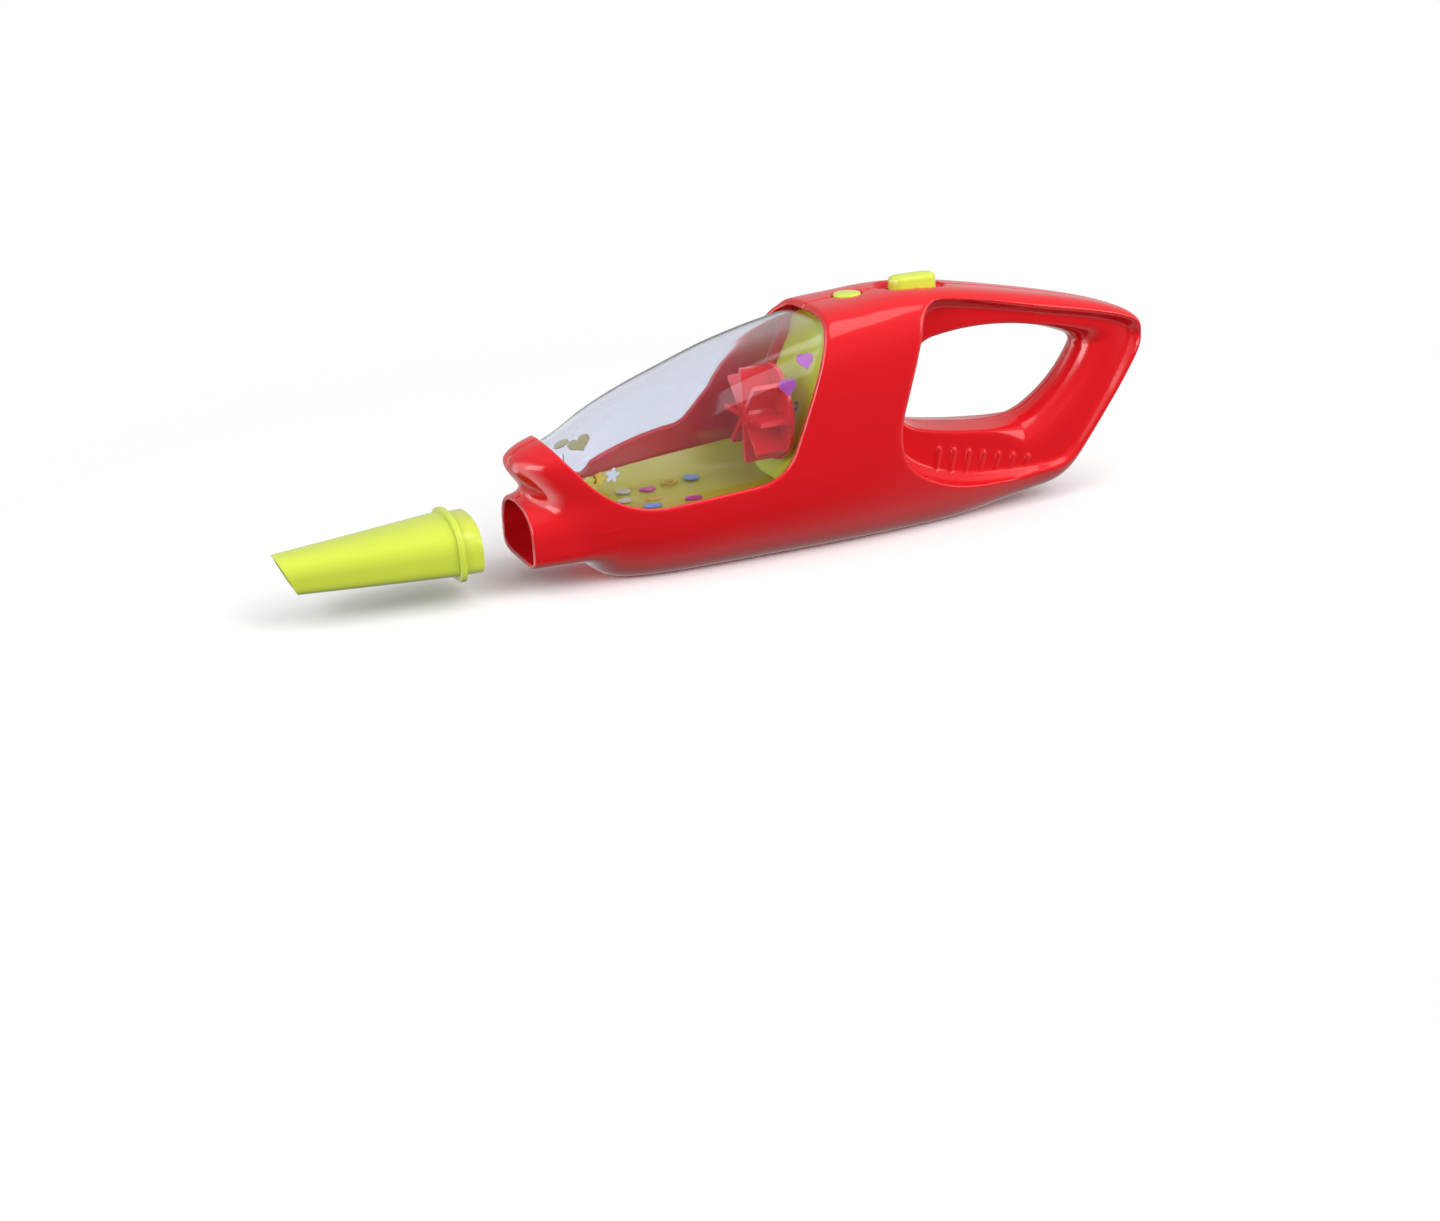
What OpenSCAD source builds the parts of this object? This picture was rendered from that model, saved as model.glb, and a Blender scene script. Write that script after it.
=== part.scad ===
// Toy vacuum cleaner: two half shells, a clear dome over a whirl fan, and a pull-off nozzle.
// Nose to -X, tail to +X, belly flat on Z = 0, shells parted on Y = 0. Sizes in mm.

/* [Body] */
// Length of the shells from nose to tail
body_length = 220; // [208:1:233]
// Height of the crown over the belly
body_height = 77; // [73:0.5:82]
// Width across the collar
body_width = 52.6; // [50:0.2:57]
// Shell wall
wall = 2.2; // [1.8:0.1:2.4]
// Half thickness of the handle between its side recesses
handle_half = 11; // [10.6:0.1:12]
// Rim left round each side recess
recess_rim = 3; // [2:0.1:4]
// Width of the sloped recess border
recess_slope = 3; // [1.5:0.1:3.6]
// Widening of the hand hole from mid plane to side
hole_draft = 1.2; // [0.4:0.1:1.8]

/* [Grip ribs] */
// Ribs on each lower handle panel
rib_count = 7; // [5:1:7]
// Distance from rib to rib
rib_pitch = 5.4; // [4.6:0.1:5.6]
// Height of a rib over the panel
rib_height = 0.8; // [0.4:0.1:1.4]

/* [Dome and dust tray] */
// Thickness of the clear dome
dome_thick = 1.5; // [1.2:0.1:1.7]
// How far the dome runs on behind the window edges
dome_lap = 2.6; // [1.8:0.1:3.2]
// Thickness of the dust tray and the fan wall
tray_thick = 1.4; // [1.1:0.1:1.8]
// Height of the dust tray floor over the belly
tray_floor = 20.5; // [20.2:0.1:21.5]

/* [Whirl fan and motor] */
// Radius of the fan
fan_radius = 15.6; // [13:0.1:16.4]
// Depth of the fan blades
fan_depth = 10; // [8:0.5:12]
// Number of fan blades
blade_count = 8; // [4:1:8]
// Motor shaft diameter
shaft_d = 2; // [1.5:0.1:2.4]
// Running clearance of the shaft in the motor, radial
shaft_gap = 0.05; // [0.02:0.01:0.08]
// Motor can diameter
motor_d = 15.6; // [14:0.1:16]
// Motor height over its two flats
motor_flat = 12; // [11:0.1:12.4]
// Motor can length
motor_length = 17.5; // [16:0.5:18]

/* [Buttons] */
// Length of the power button
power_length = 16; // [14:0.5:17]
// Width of the power button
power_width = 8; // [7:0.5:9]
// Height of the power button over the crown
power_rise = 3.4; // [2.4:0.1:4]
// Push of the power button
power_travel = 1.8; // [1:0.1:2]
// Diameter of the sound button
sound_d = 9; // [8:0.5:10]
// Height of the sound button over the crown
sound_rise = 0.7; // [0.4:0.1:1.5]
// Depth of the dish round the power button
dish_depth = 1.2; // [0.8:0.1:1.4]

/* [Spout and nozzle] */
// Outer width of the spout
spout_width = 33; // [31:0.2:35]
// Outer height of the spout
spout_height = 19.8; // [18.6:0.1:20.8]
// Spout wall
spout_wall = 1.5; // [1.2:0.1:1.8]
// Depth of the spout socket
socket_depth = 18; // [15:0.5:19]
// Overall length of the nozzle
nozzle_length = 61; // [54:1:68]
// Clear distance from the pulled-off nozzle to the spout
nozzle_gap = 15; // [8:1:20]
// Length of the nozzle spigot
spigot_length = 6; // [4:0.5:9]
// Clearance of the spigot in the socket, all round
spigot_gap = 0.2; // [0.1:0.05:0.35]

/* [Batteries and screws] */
// Battery cell diameter
cell_d = 14.2; // [13.6:0.1:14.4]
// Battery cell length
cell_length = 49.5; // [48:0.5:50]
// Shell screw diameter
screw_d = 2.6; // [2.2:0.1:2.8]
// Shell screw head diameter
screw_head_d = 5.4; // [4.6:0.1:5.6]

/* [Hidden] */
$fn = 40;
slack = 0.05;
far_out = 60;

// Scale from the drawn outlines to the chosen sizes
kx = body_length / 220;
ky = body_width / 52.6;
kz = body_height / 77;

// Outlines of the body as [x, value]: crown height, keel height, half width, corner powers
crown_line = [[-78, 38.2], [-77.2, 40.2], [-75.5, 41.9], [-72.1, 43.7], [-67, 45.4], [-61, 47.9], [-50, 53.6],
    [-36, 59.2], [-22.5, 63.7], [-8.7, 68.2], [5, 71.6], [15, 73.6], [24, 75.2], [38, 76.2], [50, 77],
    [60, 76.7], [74, 75], [97, 70.4], [119, 65.2], [134, 60.4], [139, 57.5], [141.3, 54.5], [142, 51.5]];
keel_line = [[-78, 37.4], [-77.2, 35.8], [-75.5, 33.2], [-72.9, 29.5], [-69.5, 24.5], [-66, 18.5], [-62, 12],
    [-58, 6], [-54, 2], [-50, -0.3], [-45, -1.5], [-38, -2], [0, -2], [55, -2], [68, -1.4], [78, -0.2],
    [88, 1.3], [100, 3], [108, 4.6], [113, 7.2], [117, 11.4], [125, 22.2], [132.5, 33], [139, 43.5],
    [141.3, 48.3], [142, 50.7]];
beam_line = [[-78, 3], [-77.2, 6.5], [-75.5, 9.2], [-72.1, 12.2], [-67, 15.3], [-60, 18.6], [-54, 20.8],
    [-46, 22.8], [-34, 24.5], [-20, 25.6], [-5, 26.1], [10, 26.3], [25, 26], [40, 24.9], [55, 23],
    [70, 20.6], [85, 18.2], [100, 16.2], [115, 14.8], [128, 13.6], [136, 12.2], [140, 10], [142, 5]];
crown_power = [[-78, 2.2], [-66, 2.5], [-40, 3], [10, 3.6], [50, 3.8], [100, 4.5], [142, 3.5]];
keel_power = [[-78, 2.2], [-66, 2.6], [-50, 3], [-30, 3.4], [80, 3.4], [142, 3.2]];
stations = [-78, -77.4, -76.3, -74.6, -72.1, -68.7, -64.5, -59, -53, -46, -37, -26, -14, 0, 14, 28, 42, 55, 68, 82,
    95, 104, 110, 115, 121, 128, 134, 138, 140.5, 142];
ring_points = 28;
middle_share = 0.56;

function segment(t, x) = max([for (i = [0 : len(t) - 2]) x >= t[i][0] ? i : 0]);
function steepness(t, i) =
    let (a = max(i - 1, 0), b = min(i + 1, len(t) - 1)) (t[b][1] - t[a][1]) / (t[b][0] - t[a][0]);
function smooth(t, x) =
    let (i = segment(t, x), h = t[i + 1][0] - t[i][0], u = min(max((x - t[i][0]) / h, 0), 1), v = 1 - u)
    t[i][1] * (1 + 2 * u) * v * v + h * steepness(t, i) * u * v * v
    + t[i + 1][1] * (1 + 2 * v) * u * u - h * steepness(t, i + 1) * v * u * u;
function slant(t, x, k) = sqrt(1 + pow(k * (smooth(t, x / kx + 0.5) - smooth(t, x / kx - 0.5)), 2));

// Crown, keel and half width at x, drawn in by d square to the surface
function crown(x, d) = kz * smooth(crown_line, x / kx) - d * slant(crown_line, x, kz / kx);
function keel(x, d) = kz * smooth(keel_line, x / kx) + d * slant(keel_line, x, kz / kx);
function beam(x, d) = ky * smooth(beam_line, x / kx) - d * slant(beam_line, x, ky / kx);
function middle(x) = keel(x, 0) + middle_share * (crown(x, 0) - keel(x, 0));

function bend(v, p) = sign(v) * pow(abs(v), 2 / p);
function side_y(x, d, a) =
    beam(x, d) * bend(cos(a), lookup(x / kx, sin(a) >= 0 ? crown_power : keel_power));
function side_z(x, d, a) = sin(a) >= 0
    ? middle(x) + (crown(x, d) - middle(x)) * bend(sin(a), lookup(x / kx, crown_power))
    : middle(x) + (middle(x) - keel(x, d)) * bend(sin(a), lookup(x / kx, keel_power));
// Angle on the lower half of a section that lies at height z
function angle_at(x, d, z) =
    let (share = min(max((middle(x) - z) / (middle(x) - keel(x, d)), 0), 0.95))
    -asin(pow(share, lookup(x / kx, keel_power) / 2));
function roomy(x, d) = crown(x, d) - middle(x) > 0.3 && middle(x) - keel(x, d) > 0.3 && beam(x, d) > 0.8;
function body_ring(x, d) = [for (k = [0 : ring_points - 1])
    let (a = 360 * k / ring_points) [x, side_y(x, d, a), side_z(x, d, a)]];

function band_faces(rows, n, turn) = [for (i = [0 : rows - 1]) for (k = [0 : n - 1])
    let (a = i * n + k, b = i * n + (k + 1) % n, c = ((i + 1) % turn) * n + (k + 1) % n,
        d = ((i + 1) % turn) * n + k)
    each [[a, d, c], [a, c, b]]];

// Solid through a list of rings that have the same number of points
module loft(rings) {
    n = len(rings[0]);
    last = len(rings) - 1;
    low_cap = [for (k = [0 : n - 1]) k];
    high_cap = [for (k = [n - 1 : -1 : 0]) last * n + k];
    polyhedron(points = [for (r = rings) each r],
        faces = concat([low_cap, high_cap], band_faces(last, n, last + 1)));
}

// Closed skin through rings whose last ring joins the first
module ring_skin(rings) {
    polyhedron(points = [for (r = rings) each r], faces = band_faces(len(rings), len(rings[0]), len(rings)));
}

// Plate between two point grids of the same size, upper grid first
module plate_skin(upper, lower) {
    rows = len(upper);
    n = len(upper[0]);
    off = rows * n;
    top_faces = [for (i = [0 : rows - 2]) for (k = [0 : n - 2])
        let (a = i * n + k) each [[a, a + n, a + n + 1], [a, a + n + 1, a + 1]]];
    low_faces = [for (f = top_faces) [off + f[0], off + f[2], off + f[1]]];
    edge = concat([for (k = [0 : n - 2]) k], [for (i = [0 : rows - 2]) i * n + n - 1],
        [for (k = [n - 1 : -1 : 1]) (rows - 1) * n + k], [for (i = [rows - 1 : -1 : 1]) i * n]);
    m = len(edge);
    edge_faces = [for (j = [0 : m - 1]) let (a = edge[j], b = edge[(j + 1) % m])
        each [[a, b, off + b], [a, off + b, off + a]]];
    polyhedron(points = concat([for (r = upper) each r], [for (r = lower) each r]),
        faces = concat(top_faces, low_faces, edge_faces));
}

// Places the drawn frame with the middle of the whole length on X = 0
mouth_x = -76.5 * kx;
tip_x = mouth_x - nozzle_gap - nozzle_length;
tail_x = 142 * kx;
module placed() {
    translate([-(tip_x + tail_x) / 2, 0, 0]) children();
}

// Bar along Y from an outline drawn in X and Z
module across(y0, y1) {
    translate([0, y1, 0]) rotate([90, 0, 0]) linear_extrude(y1 - y0) children();
}

module body_form(d) {
    loft([for (x = stations) if (roomy(x * kx, d)) body_ring(x * kx, d)]);
}

module side_outline() {
    polygon(concat([for (x = stations) [x * kx, crown(x * kx, 0)]],
        [for (i = [len(stations) - 1 : -1 : 0]) [stations[i] * kx, keel(stations[i] * kx, 0)]]));
}

module rounded(r) {
    offset(r = r, $fn = 24) offset(delta = -r) children();
}

// Window edges: lean of the collar edge, slope of the nose edge and the sill between them
collar_lean = 0.4;
nose_lean = -0.78;
function collar_x(z) = kx * 9 + collar_lean * (z - kz * 37.9);
function nose_x(z) = kx * -54.5 + nose_lean * (z - kz * 29);
function sill_z(x) = kz * 26.3 + 0.08 * (x - kx * 0);
window_round = 7;

// Front plane of the fan wall, behind the collar edge
wall_back = 8 * kx;
wall_tilt = atan(collar_lean);
function wall_x(z) = collar_x(z) + wall_back;
function wall_rear(z) = wall_x(z) + tray_thick / cos(wall_tilt);

module near_window() {
    high = kz * 90;
    low_front = kz * 22.4;
    low_back = sill_z(collar_x(kz * 26.5));
    rounded(window_round) polygon([[nose_x(high), high], [collar_x(high), high],
        [collar_x(low_back), low_back], [nose_x(low_front), low_front]]);
}

// On the far side the sill stands higher and sweeps up to the collar
module far_sill() {
    scale([kx, kz]) polygon([[-52, 18], [-48.5, 24], [-46.5, 27.5], [-44.5, 29.8], [-40, 31.5], [-33, 33.5],
        [-26, 35.2], [-19, 36.4], [-14, 36.9], [-11, 38.2], [-8, 41.1], [-5, 44.5], [-2, 47.6], [0, 51],
        [2.7, 54.8], [6.4, 58.3], [12, 62.4], [17, 65.8], [21, 70], [40, 72], [40, 18]]);
}

module window_outline(side) {
    difference() {
        near_window();
        if (side > 0)
            far_sill();
    }
}

// Hand hole: long top and rear curves, leaning front edge, nearly straight floor
hole_round = 4;
module hand_hole() {
    scale([kx, kz]) rounded(hole_round) intersection() {
        translate([78.8, 69.9]) circle(45, $fn = 60);
        translate([79, -29]) circle(90, $fn = 90);
        polygon([[49.5, 32.6], [92, 26.6], [140, 20], [140, 90], [68, 90]]);
    }
}

recess_round = 7;
recess_lean = 0.333;
module recess_outline() {
    rounded(recess_round) intersection() {
        offset(delta = -recess_rim) side_outline();
        scale([kx, kz]) polygon([[42 + recess_lean * -18, 9.7], [43 + recess_lean * 72, 100], [160, 100],
            [160, 8], [66, 12.4], [51, 15.5], [44.5, 23]]);
    }
}

// Side recess with a sloped border; grow draws the wall that is left behind it
module recess_block(side, grow) {
    y0 = handle_half - grow;
    y1 = handle_half + recess_slope - grow / 2;
    mirror([0, side < 0 ? 1 : 0, 0]) hull() {
        across(y0, y0 + slack) offset(delta = grow - recess_slope) recess_outline();
        across(y1, far_out) offset(delta = grow) recess_outline();
    }
}

module hole_block(grow) {
    for (side = [-1, 1])
        mirror([0, side < 0 ? 1 : 0, 0]) hull() {
            across(-slack, slack) offset(delta = grow) hand_hole();
            across(handle_half + 1, far_out) offset(delta = grow + hole_draft) hand_hole();
        }
}

// Spout and nozzle share a tombstone section: round top, flat bottom
tomb_points = 32;
spout_z = 7.5 * kz;
tomb_top_power = 2.5;
tomb_low_power = 5;
tomb_share = 0.42;
spout_end = mouth_x + socket_depth;
function tomb_ring(x, w, b, t, shear) = [for (k = [0 : tomb_points - 1])
    let (a = 360 * k / tomb_points, s = sin(a), m = b + tomb_share * (t - b),
        p = s >= 0 ? tomb_top_power : tomb_low_power, z = m + (s >= 0 ? t - m : m - b) * bend(s, p))
    [x + shear * (z - (b + t) / 2), w * bend(cos(a), p), z]];
module tomb_bar(x0, x1, d) {
    loft([for (x = [x0, x1]) tomb_ring(x, spout_width / 2 - d, spout_z + d, spout_z + spout_height - d, 0)]);
}

// Outside of the spout, which widens until it runs into the body sides
flare_length = 24 * kx;
flare_wide = 2.6;
flare_high = 6;
module spout_flare() {
    loft([for (u = [0, 1 / 3, 2 / 3, 1]) tomb_ring(mouth_x + flare_length * u,
        spout_width / 2 + flare_wide * sin(90 * u), spout_z, spout_z + spout_height + flare_high * u, 0)]);
}

// Buttons: places along the crown, and the heights below the crown that they share
power_x = 61.5 * kx;
lip = 1;
sound_room = 0.95;
sound_x = wall_rear(72 * kz) + sound_room + lip + sound_d / 2;
dish_length = 24;
dish_width = 14;
button_gap = 0.25;
lip_thick = 1.2;
power_top = crown(power_x, 0) + power_rise;
sound_top = crown(sound_x, 0) + sound_rise;
lip_gap = 0.6;
function under_crown(x, half) = min(crown(x - half, wall), crown(x + half, wall)) - lip_gap;
power_lip = under_crown(power_x, power_length / 2 + lip);
sound_lip = under_crown(sound_x, sound_d / 2 + lip);
dome_room = 1.6;
board_top = power_lip - lip_thick - power_travel - dome_room;
board_thick = 1.2;
board_half = 7.4;
board_room = 1.4;
board_x0 = wall_rear(board_top) + board_room;
board_x1 = 73 * kx;

module stadium(length, width) {
    for (s = [-1, 1])
        translate([s * (length - width) / 2, 0]) circle(width / 2);
    square([length - width, width], center = true);
}

// Battery space under the dust tray and its door in the belly
box_x0 = -21 * kx;
box_wall = 1.2;
box_half = 16;
box_top = tray_floor - tray_thick - slack;
box_length = cell_length + 7;
door_x0 = box_x0 + 1.8;
door_x1 = box_x0 + box_length - 1.8;
door_half = 14;
door_thick = 2;
tab_x = box_x0 + box_length + 3.4;
tab_half = 4.4;
door_gap = 0.2;

module door_outline(grow) {
    translate([door_x0 - grow, -door_half - grow])
        square([door_x1 - door_x0 + 2 * grow, 2 * (door_half + grow)]);
    translate([door_x1 - slack, -tab_half - grow])
        square([tab_x + tab_half - door_x1 + slack + grow, 2 * (tab_half + grow)]);
}

// Screw places in X and Z, the same on both halves
boss_d = 9.4;
boss_room = 2;
function behind_wall(z) = wall_rear(z) + boss_room + boss_d / 2;
screw_spots = [[-47 * kx, 8.5 * kz], [tab_x + tab_half + boss_room + 1 + boss_d / 2, 7 * kz],
    [behind_wall(60 * kz), 60 * kz], [104 * kx, 17 * kz], [131.5 * kx, 50.5 * kz], [86 * kx, 66.8 * kz]];
seat_y = 4;
screw_reach = 8;
module at_screws() {
    for (p = screw_spots)
        translate([p[0], 0, p[1]]) rotate([-90, 0, 0]) children();
}

module shell_cavity() {
    difference() {
        intersection() {
            body_form(wall);
            translate([-400, -far_out, wall]) cube([800, 2 * far_out, 200]);
        }
        hole_block(wall);
        for (side = [-1, 1])
            recess_block(side, wall);
        tomb_bar(mouth_x - 20, spout_end + spout_wall, 0);
    }
}

module shell_fittings(side) {
    intersection() {
        body_form(wall / 2);
        union() {
            at_screws() mirror([0, 0, side < 0 ? 1 : 0]) cylinder(d = side < 0 ? 6.4 : boss_d, h = far_out, $fn = 16);
            for (x = [board_x0 + 1, board_x1 - 4])
                translate([x, side > 0 ? 5 : -far_out, board_top - board_thick - 2.2])
                    cube([3, far_out - 5, 2.15]);
        }
    }
}

module shell_cuts(side) {
    across(side > 0 ? -slack : -far_out, side > 0 ? far_out : slack) window_outline(side);
    hole_block(0);
    recess_block(side, 0);
    tomb_bar(mouth_x - 20, spout_end, spout_wall);
    translate([power_x - 1 * kx, 0, crown(power_x, 0) - dish_depth]) rotate([0, 4.2, 0])
        linear_extrude(20) stadium(dish_length, dish_width);
    translate([power_x, 0, board_top]) linear_extrude(20)
        stadium(power_length + 2 * button_gap, power_width + 2 * button_gap);
    translate([sound_x, 0, board_top]) cylinder(d = sound_d + 2 * button_gap, h = 20);
    translate([0, 0, -1]) linear_extrude(wall + 1.5) door_outline(door_gap);
    at_screws() {
        translate([0, 0, -screw_reach - 1]) cylinder(d = screw_d - 0.2, h = screw_reach + 1 + slack, $fn = 16);
        if (side > 0) {
            cylinder(d = screw_d + 0.4, h = far_out, $fn = 16);
            translate([0, 0, seat_y]) cylinder(d = screw_head_d + 0.8, h = far_out, $fn = 20);
        }
    }
}

// Raised grip ribs on the panel below the hand hole
module grip_ribs(side) {
    for (i = [0 : rib_count - 1]) {
        x = 63.7 * kx + i * rib_pitch * kx;
        z1 = (23.6 - 0.23 * i * rib_pitch) * kz;
        z0 = (15.6 - 0.05 * i * rib_pitch) * kz;
        y0 = side > 0 ? handle_half - 0.4 : -handle_half - rib_height;
        hull() {
            across(y0, y0 + rib_height + 0.4) translate([x, z1]) circle(0.8, $fn = 8);
            across(y0, y0 + rib_height + 0.4) translate([x - 1.3, z0]) circle(0.5, $fn = 8);
        }
    }
}

module half_shell(side) {
    intersection() {
        union() {
            difference() {
                union() {
                    difference() {
                        union() {
                            body_form(0);
                            spout_flare();
                        }
                        shell_cavity();
                    }
                    shell_fittings(side);
                    tomb_bar(mouth_x, spout_end + spout_wall, 0);
                }
                shell_cuts(side);
            }
            grip_ribs(side);
        }
        translate([-400, side > 0 ? 0 : -far_out, 0]) cube([800, far_out, 200]);
    }
}

module left_shell() {
    color("#e11d25") placed() half_shell(-1);
}

module right_shell() {
    color("#e11d25") placed() half_shell(1);
}

// Clear dome: a patch of the body form, drawn in behind the wall, running on past the window edges
dome_in = wall + 0.5;
dome_rows = 15;
dome_columns = 24;
function dome_angle(x, v) =
    let (low = angle_at(x, dome_in, sill_z(x) - dome_lap)) (180 - low) * (1 - v) + low * v;
function settle(x, v, front, n) =
    let (z = side_z(x, dome_in, dome_angle(x, v)), x2 = front ? nose_x(z) - dome_lap : collar_x(z) + dome_lap)
    n == 0 ? x2 : settle(x2, v, front, n - 1);
function dome_grid(d) = [for (i = [0 : dome_rows]) [for (k = [0 : dome_columns])
    let (v = k / dome_columns, u = i / dome_rows,
        x = settle(-60 * kx, v, true, 6) * (1 - u) + settle(15 * kx, v, false, 6) * u, a = dome_angle(x, v))
    [x, side_y(x, d, a), side_z(x, d, a)]]];

module canopy() {
    color([0.85, 0.88, 0.95, 0.4]) placed() plate_skin(dome_grid(dome_in), dome_grid(dome_in + dome_thick));
}

// Dust tray: level floor that turns up at the sides and at the front
tray_in = dome_in + dome_thick + 0.2;
tray_room = 4;
tray_x0 = spout_end + spout_wall + tray_room;
tray_x1 = wall_x(box_top) - slack;
function tray_base(x) = tray_floor + 3.5 * pow(max(-40 - x / kx, 0) / 13, 2);
function tray_rim(x, q) = max(sill_z(x) - 0.8 + (q > 0 ? 3.6 : 0), tray_base(x) + 0.5);
function tray_z(x, q) = tray_base(x) + (tray_rim(x, q) - tray_base(x)) * pow(abs(q), 6);
function tray_y(x, q) =
    q * side_y(x, tray_in, angle_at(x, tray_in, tray_base(x) - tray_thick));
function tray_grid(drop) = [for (i = [0 : 14]) let (x = tray_x0 + (tray_x1 - tray_x0) * i / 14)
    [for (k = [-9 : 9]) let (q = sign(k) * pow(abs(k) / 9, 0.7)) [x, -tray_y(x, q), tray_z(x, -q) - drop]]];

module dust_tray() {
    color("#b9cc2e") placed() plate_skin(tray_grid(0), tray_grid(tray_thick));
}

// Fan wall: leaning plate that closes the dust space behind the fan
wall_base_z = 40 * kz;
function wall_ring_x(x, a, n) = let (x2 = wall_x(side_z(x, wall + 0.15, a))) n == 0 ? x2 : wall_ring_x(x2, a, n - 1);
module on_fan_wall() {
    translate([wall_x(wall_base_z), 0, wall_base_z]) rotate([0, wall_tilt, 0]) children();
}

module fan_wall() {
    color("#c5d62e") placed() difference() {
        on_fan_wall() rotate([90, 0, 90]) linear_extrude(tray_thick) intersection() {
            polygon([for (a = [0 : 10 : 350]) let (x = wall_ring_x(18 * kx, a, 4))
                [side_y(x + 1, wall + 0.15, a), (side_z(x, wall + 0.15, a) - wall_base_z) / cos(wall_tilt)]]);
            translate([-far_out, (box_top + slack - wall_base_z) / cos(wall_tilt) + 0.6])
                square([2 * far_out, 90]);
        }
        translate([-20, 0, fan_z]) rotate([0, 90, 0]) cylinder(d = shaft_d + 1.4, h = 80);
    }
}

// Whirl fan on the motor shaft
fan_z = 42.3 * kz;
fan_x1 = wall_x(fan_z - fan_radius) - 0.7;
disc_thick = 1.4;
blade_thick = 1.6;
hub_r = 3.6;
motor_x0 = wall_rear(fan_z + motor_flat / 2) + 0.4;
shaft_x0 = fan_x1 - disc_thick - fan_depth + 3;
shaft_x1 = motor_x0 + motor_length + 2;

module along_x(x0, x1, d) {
    translate([x0, 0, fan_z]) rotate([0, 90, 0]) cylinder(d = d, h = x1 - x0);
}

module whirl_fan() {
    x0 = fan_x1 - disc_thick - fan_depth;
    color("#d81e26") placed() difference() {
        union() {
            along_x(fan_x1 - disc_thick, fan_x1, 2 * fan_radius, $fn = 72);
            along_x(x0 + 1, fan_x1, 2 * hub_r);
            for (i = [0 : blade_count - 1])
                translate([x0, 0, fan_z]) rotate([360 / blade_count * i, 0, 0])
                    translate([0, -blade_thick / 2, hub_r - 1])
                        cube([fan_depth + 0.2, blade_thick, fan_radius - hub_r + 0.7]);
        }
        along_x(shaft_x0, fan_x1 + 1, shaft_d + 0.02);
    }
}

module motor_shaft() {
    color("#b8bcc2") placed() along_x(shaft_x0 + 0.05, shaft_x1, shaft_d);
}

module motor_solid(grow) {
    intersection() {
        along_x(motor_x0 - grow, motor_x0 + motor_length + grow, motor_d + 2 * grow);
        translate([motor_x0 - 5, -far_out, fan_z - motor_flat / 2 - grow])
            cube([motor_length + 10, 2 * far_out, motor_flat + 2 * grow]);
    }
}

module motor_can() {
    color("#aeb3b9") placed() difference() {
        motor_solid(0);
        along_x(motor_x0 - 1, motor_x0 + motor_length + 1, shaft_d + 2 * shaft_gap);
    }
}

cap_length = 2.4;
module motor_end_cap() {
    color("#2b2d30") placed() difference() {
        intersection() {
            along_x(motor_x0 + motor_length, motor_x0 + motor_length + cap_length, motor_d - 2.4);
            translate([motor_x0, -far_out, fan_z - motor_flat / 2])
                cube([motor_length + 10, 2 * far_out, motor_flat]);
        }
        along_x(motor_x0, shaft_x1 + slack, shaft_d + 2 * shaft_gap);
    }
}

// Cradle that stands on the battery box and holds the motor by its flats
module motor_cradle() {
    color("#e6e4dc") placed() difference() {
        translate([motor_x0 + 3, -motor_d / 2 - 2, box_top])
            cube([12, motor_d + 4, fan_z - box_top + 2]);
        motor_solid(slack);
    }
}

box_low = 5;
box_turn = 9;
function box_foot(x) = side_y(x, wall + 0.5, angle_at(x, wall + 0.5, box_low));
box_low_half = min(box_half, box_foot(box_x0), box_foot(box_x0 + box_length));
module box_block(x0, x1, d, low, high) {
    translate([x0, 0, 0]) rotate([90, 0, 90]) linear_extrude(x1 - x0)
        polygon([[-box_low_half + d, low], [box_low_half - d, low], [box_half - d, box_turn],
            [box_half - d, high], [-box_half + d, high], [-box_half + d, box_turn]]);
}

module battery_box() {
    color("#3a3c40") placed() {
        difference() {
            box_block(box_x0, box_x0 + box_length, 0, box_low, box_top);
            box_block(box_x0 + box_wall, box_x0 + box_length - box_wall, box_wall, box_low - 1, box_top - box_wall);
        }
        for (x = [box_x0, box_x0 + box_length - box_wall])
            translate([x, -12, wall + slack]) cube([box_wall, 24, 4]);
        difference() {
            translate([tab_x, 0, 4]) cylinder(d = 6.4, h = 9);
            translate([tab_x, 0, 3]) cylinder(d = 2.3, h = 8.5);
        }
        translate([box_x0 + box_length - slack, -1, 5.5]) cube([2, 2, 7]);
    }
}

cell_z = door_thick + 0.3 + cell_d / 2;
cell_x0 = box_x0 + (box_length - cell_length) / 2;
module at_cells() {
    for (s = [-1, 1])
        translate([cell_x0 + cell_length / 2, s * (cell_d / 2 + 0.3), cell_z])
            rotate([0, 90, s > 0 ? 0 : 180]) children();
}

module battery_cells() {
    color("#3f7f4a") placed() at_cells() {
        translate([0, 0, -cell_length / 2]) cylinder(d = cell_d, h = cell_length - 1.4);
        translate([0, 0, cell_length / 2 - 1.5]) cylinder(d = 5.4, h = 1.5);
    }
}

// Contacts at the ends of the cells: a flat plate at the button end, a cone spring at the other
contact_gap = (box_length - cell_length) / 2 - box_wall;
module battery_plates() {
    color("#c9c4b4") placed() at_cells()
        translate([-5, -5, cell_length / 2 + slack]) cube([10, 10, contact_gap - 2 * slack]);
}

module battery_springs() {
    color("#c9ccd0") placed() at_cells() translate([0, 0, -cell_length / 2 - contact_gap + slack])
        difference() {
            cylinder(d1 = 9, d2 = 5.6, h = contact_gap - 2 * slack);
            translate([0, 0, -1]) cylinder(d = 3.6, h = contact_gap + 2);
        }
}

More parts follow.
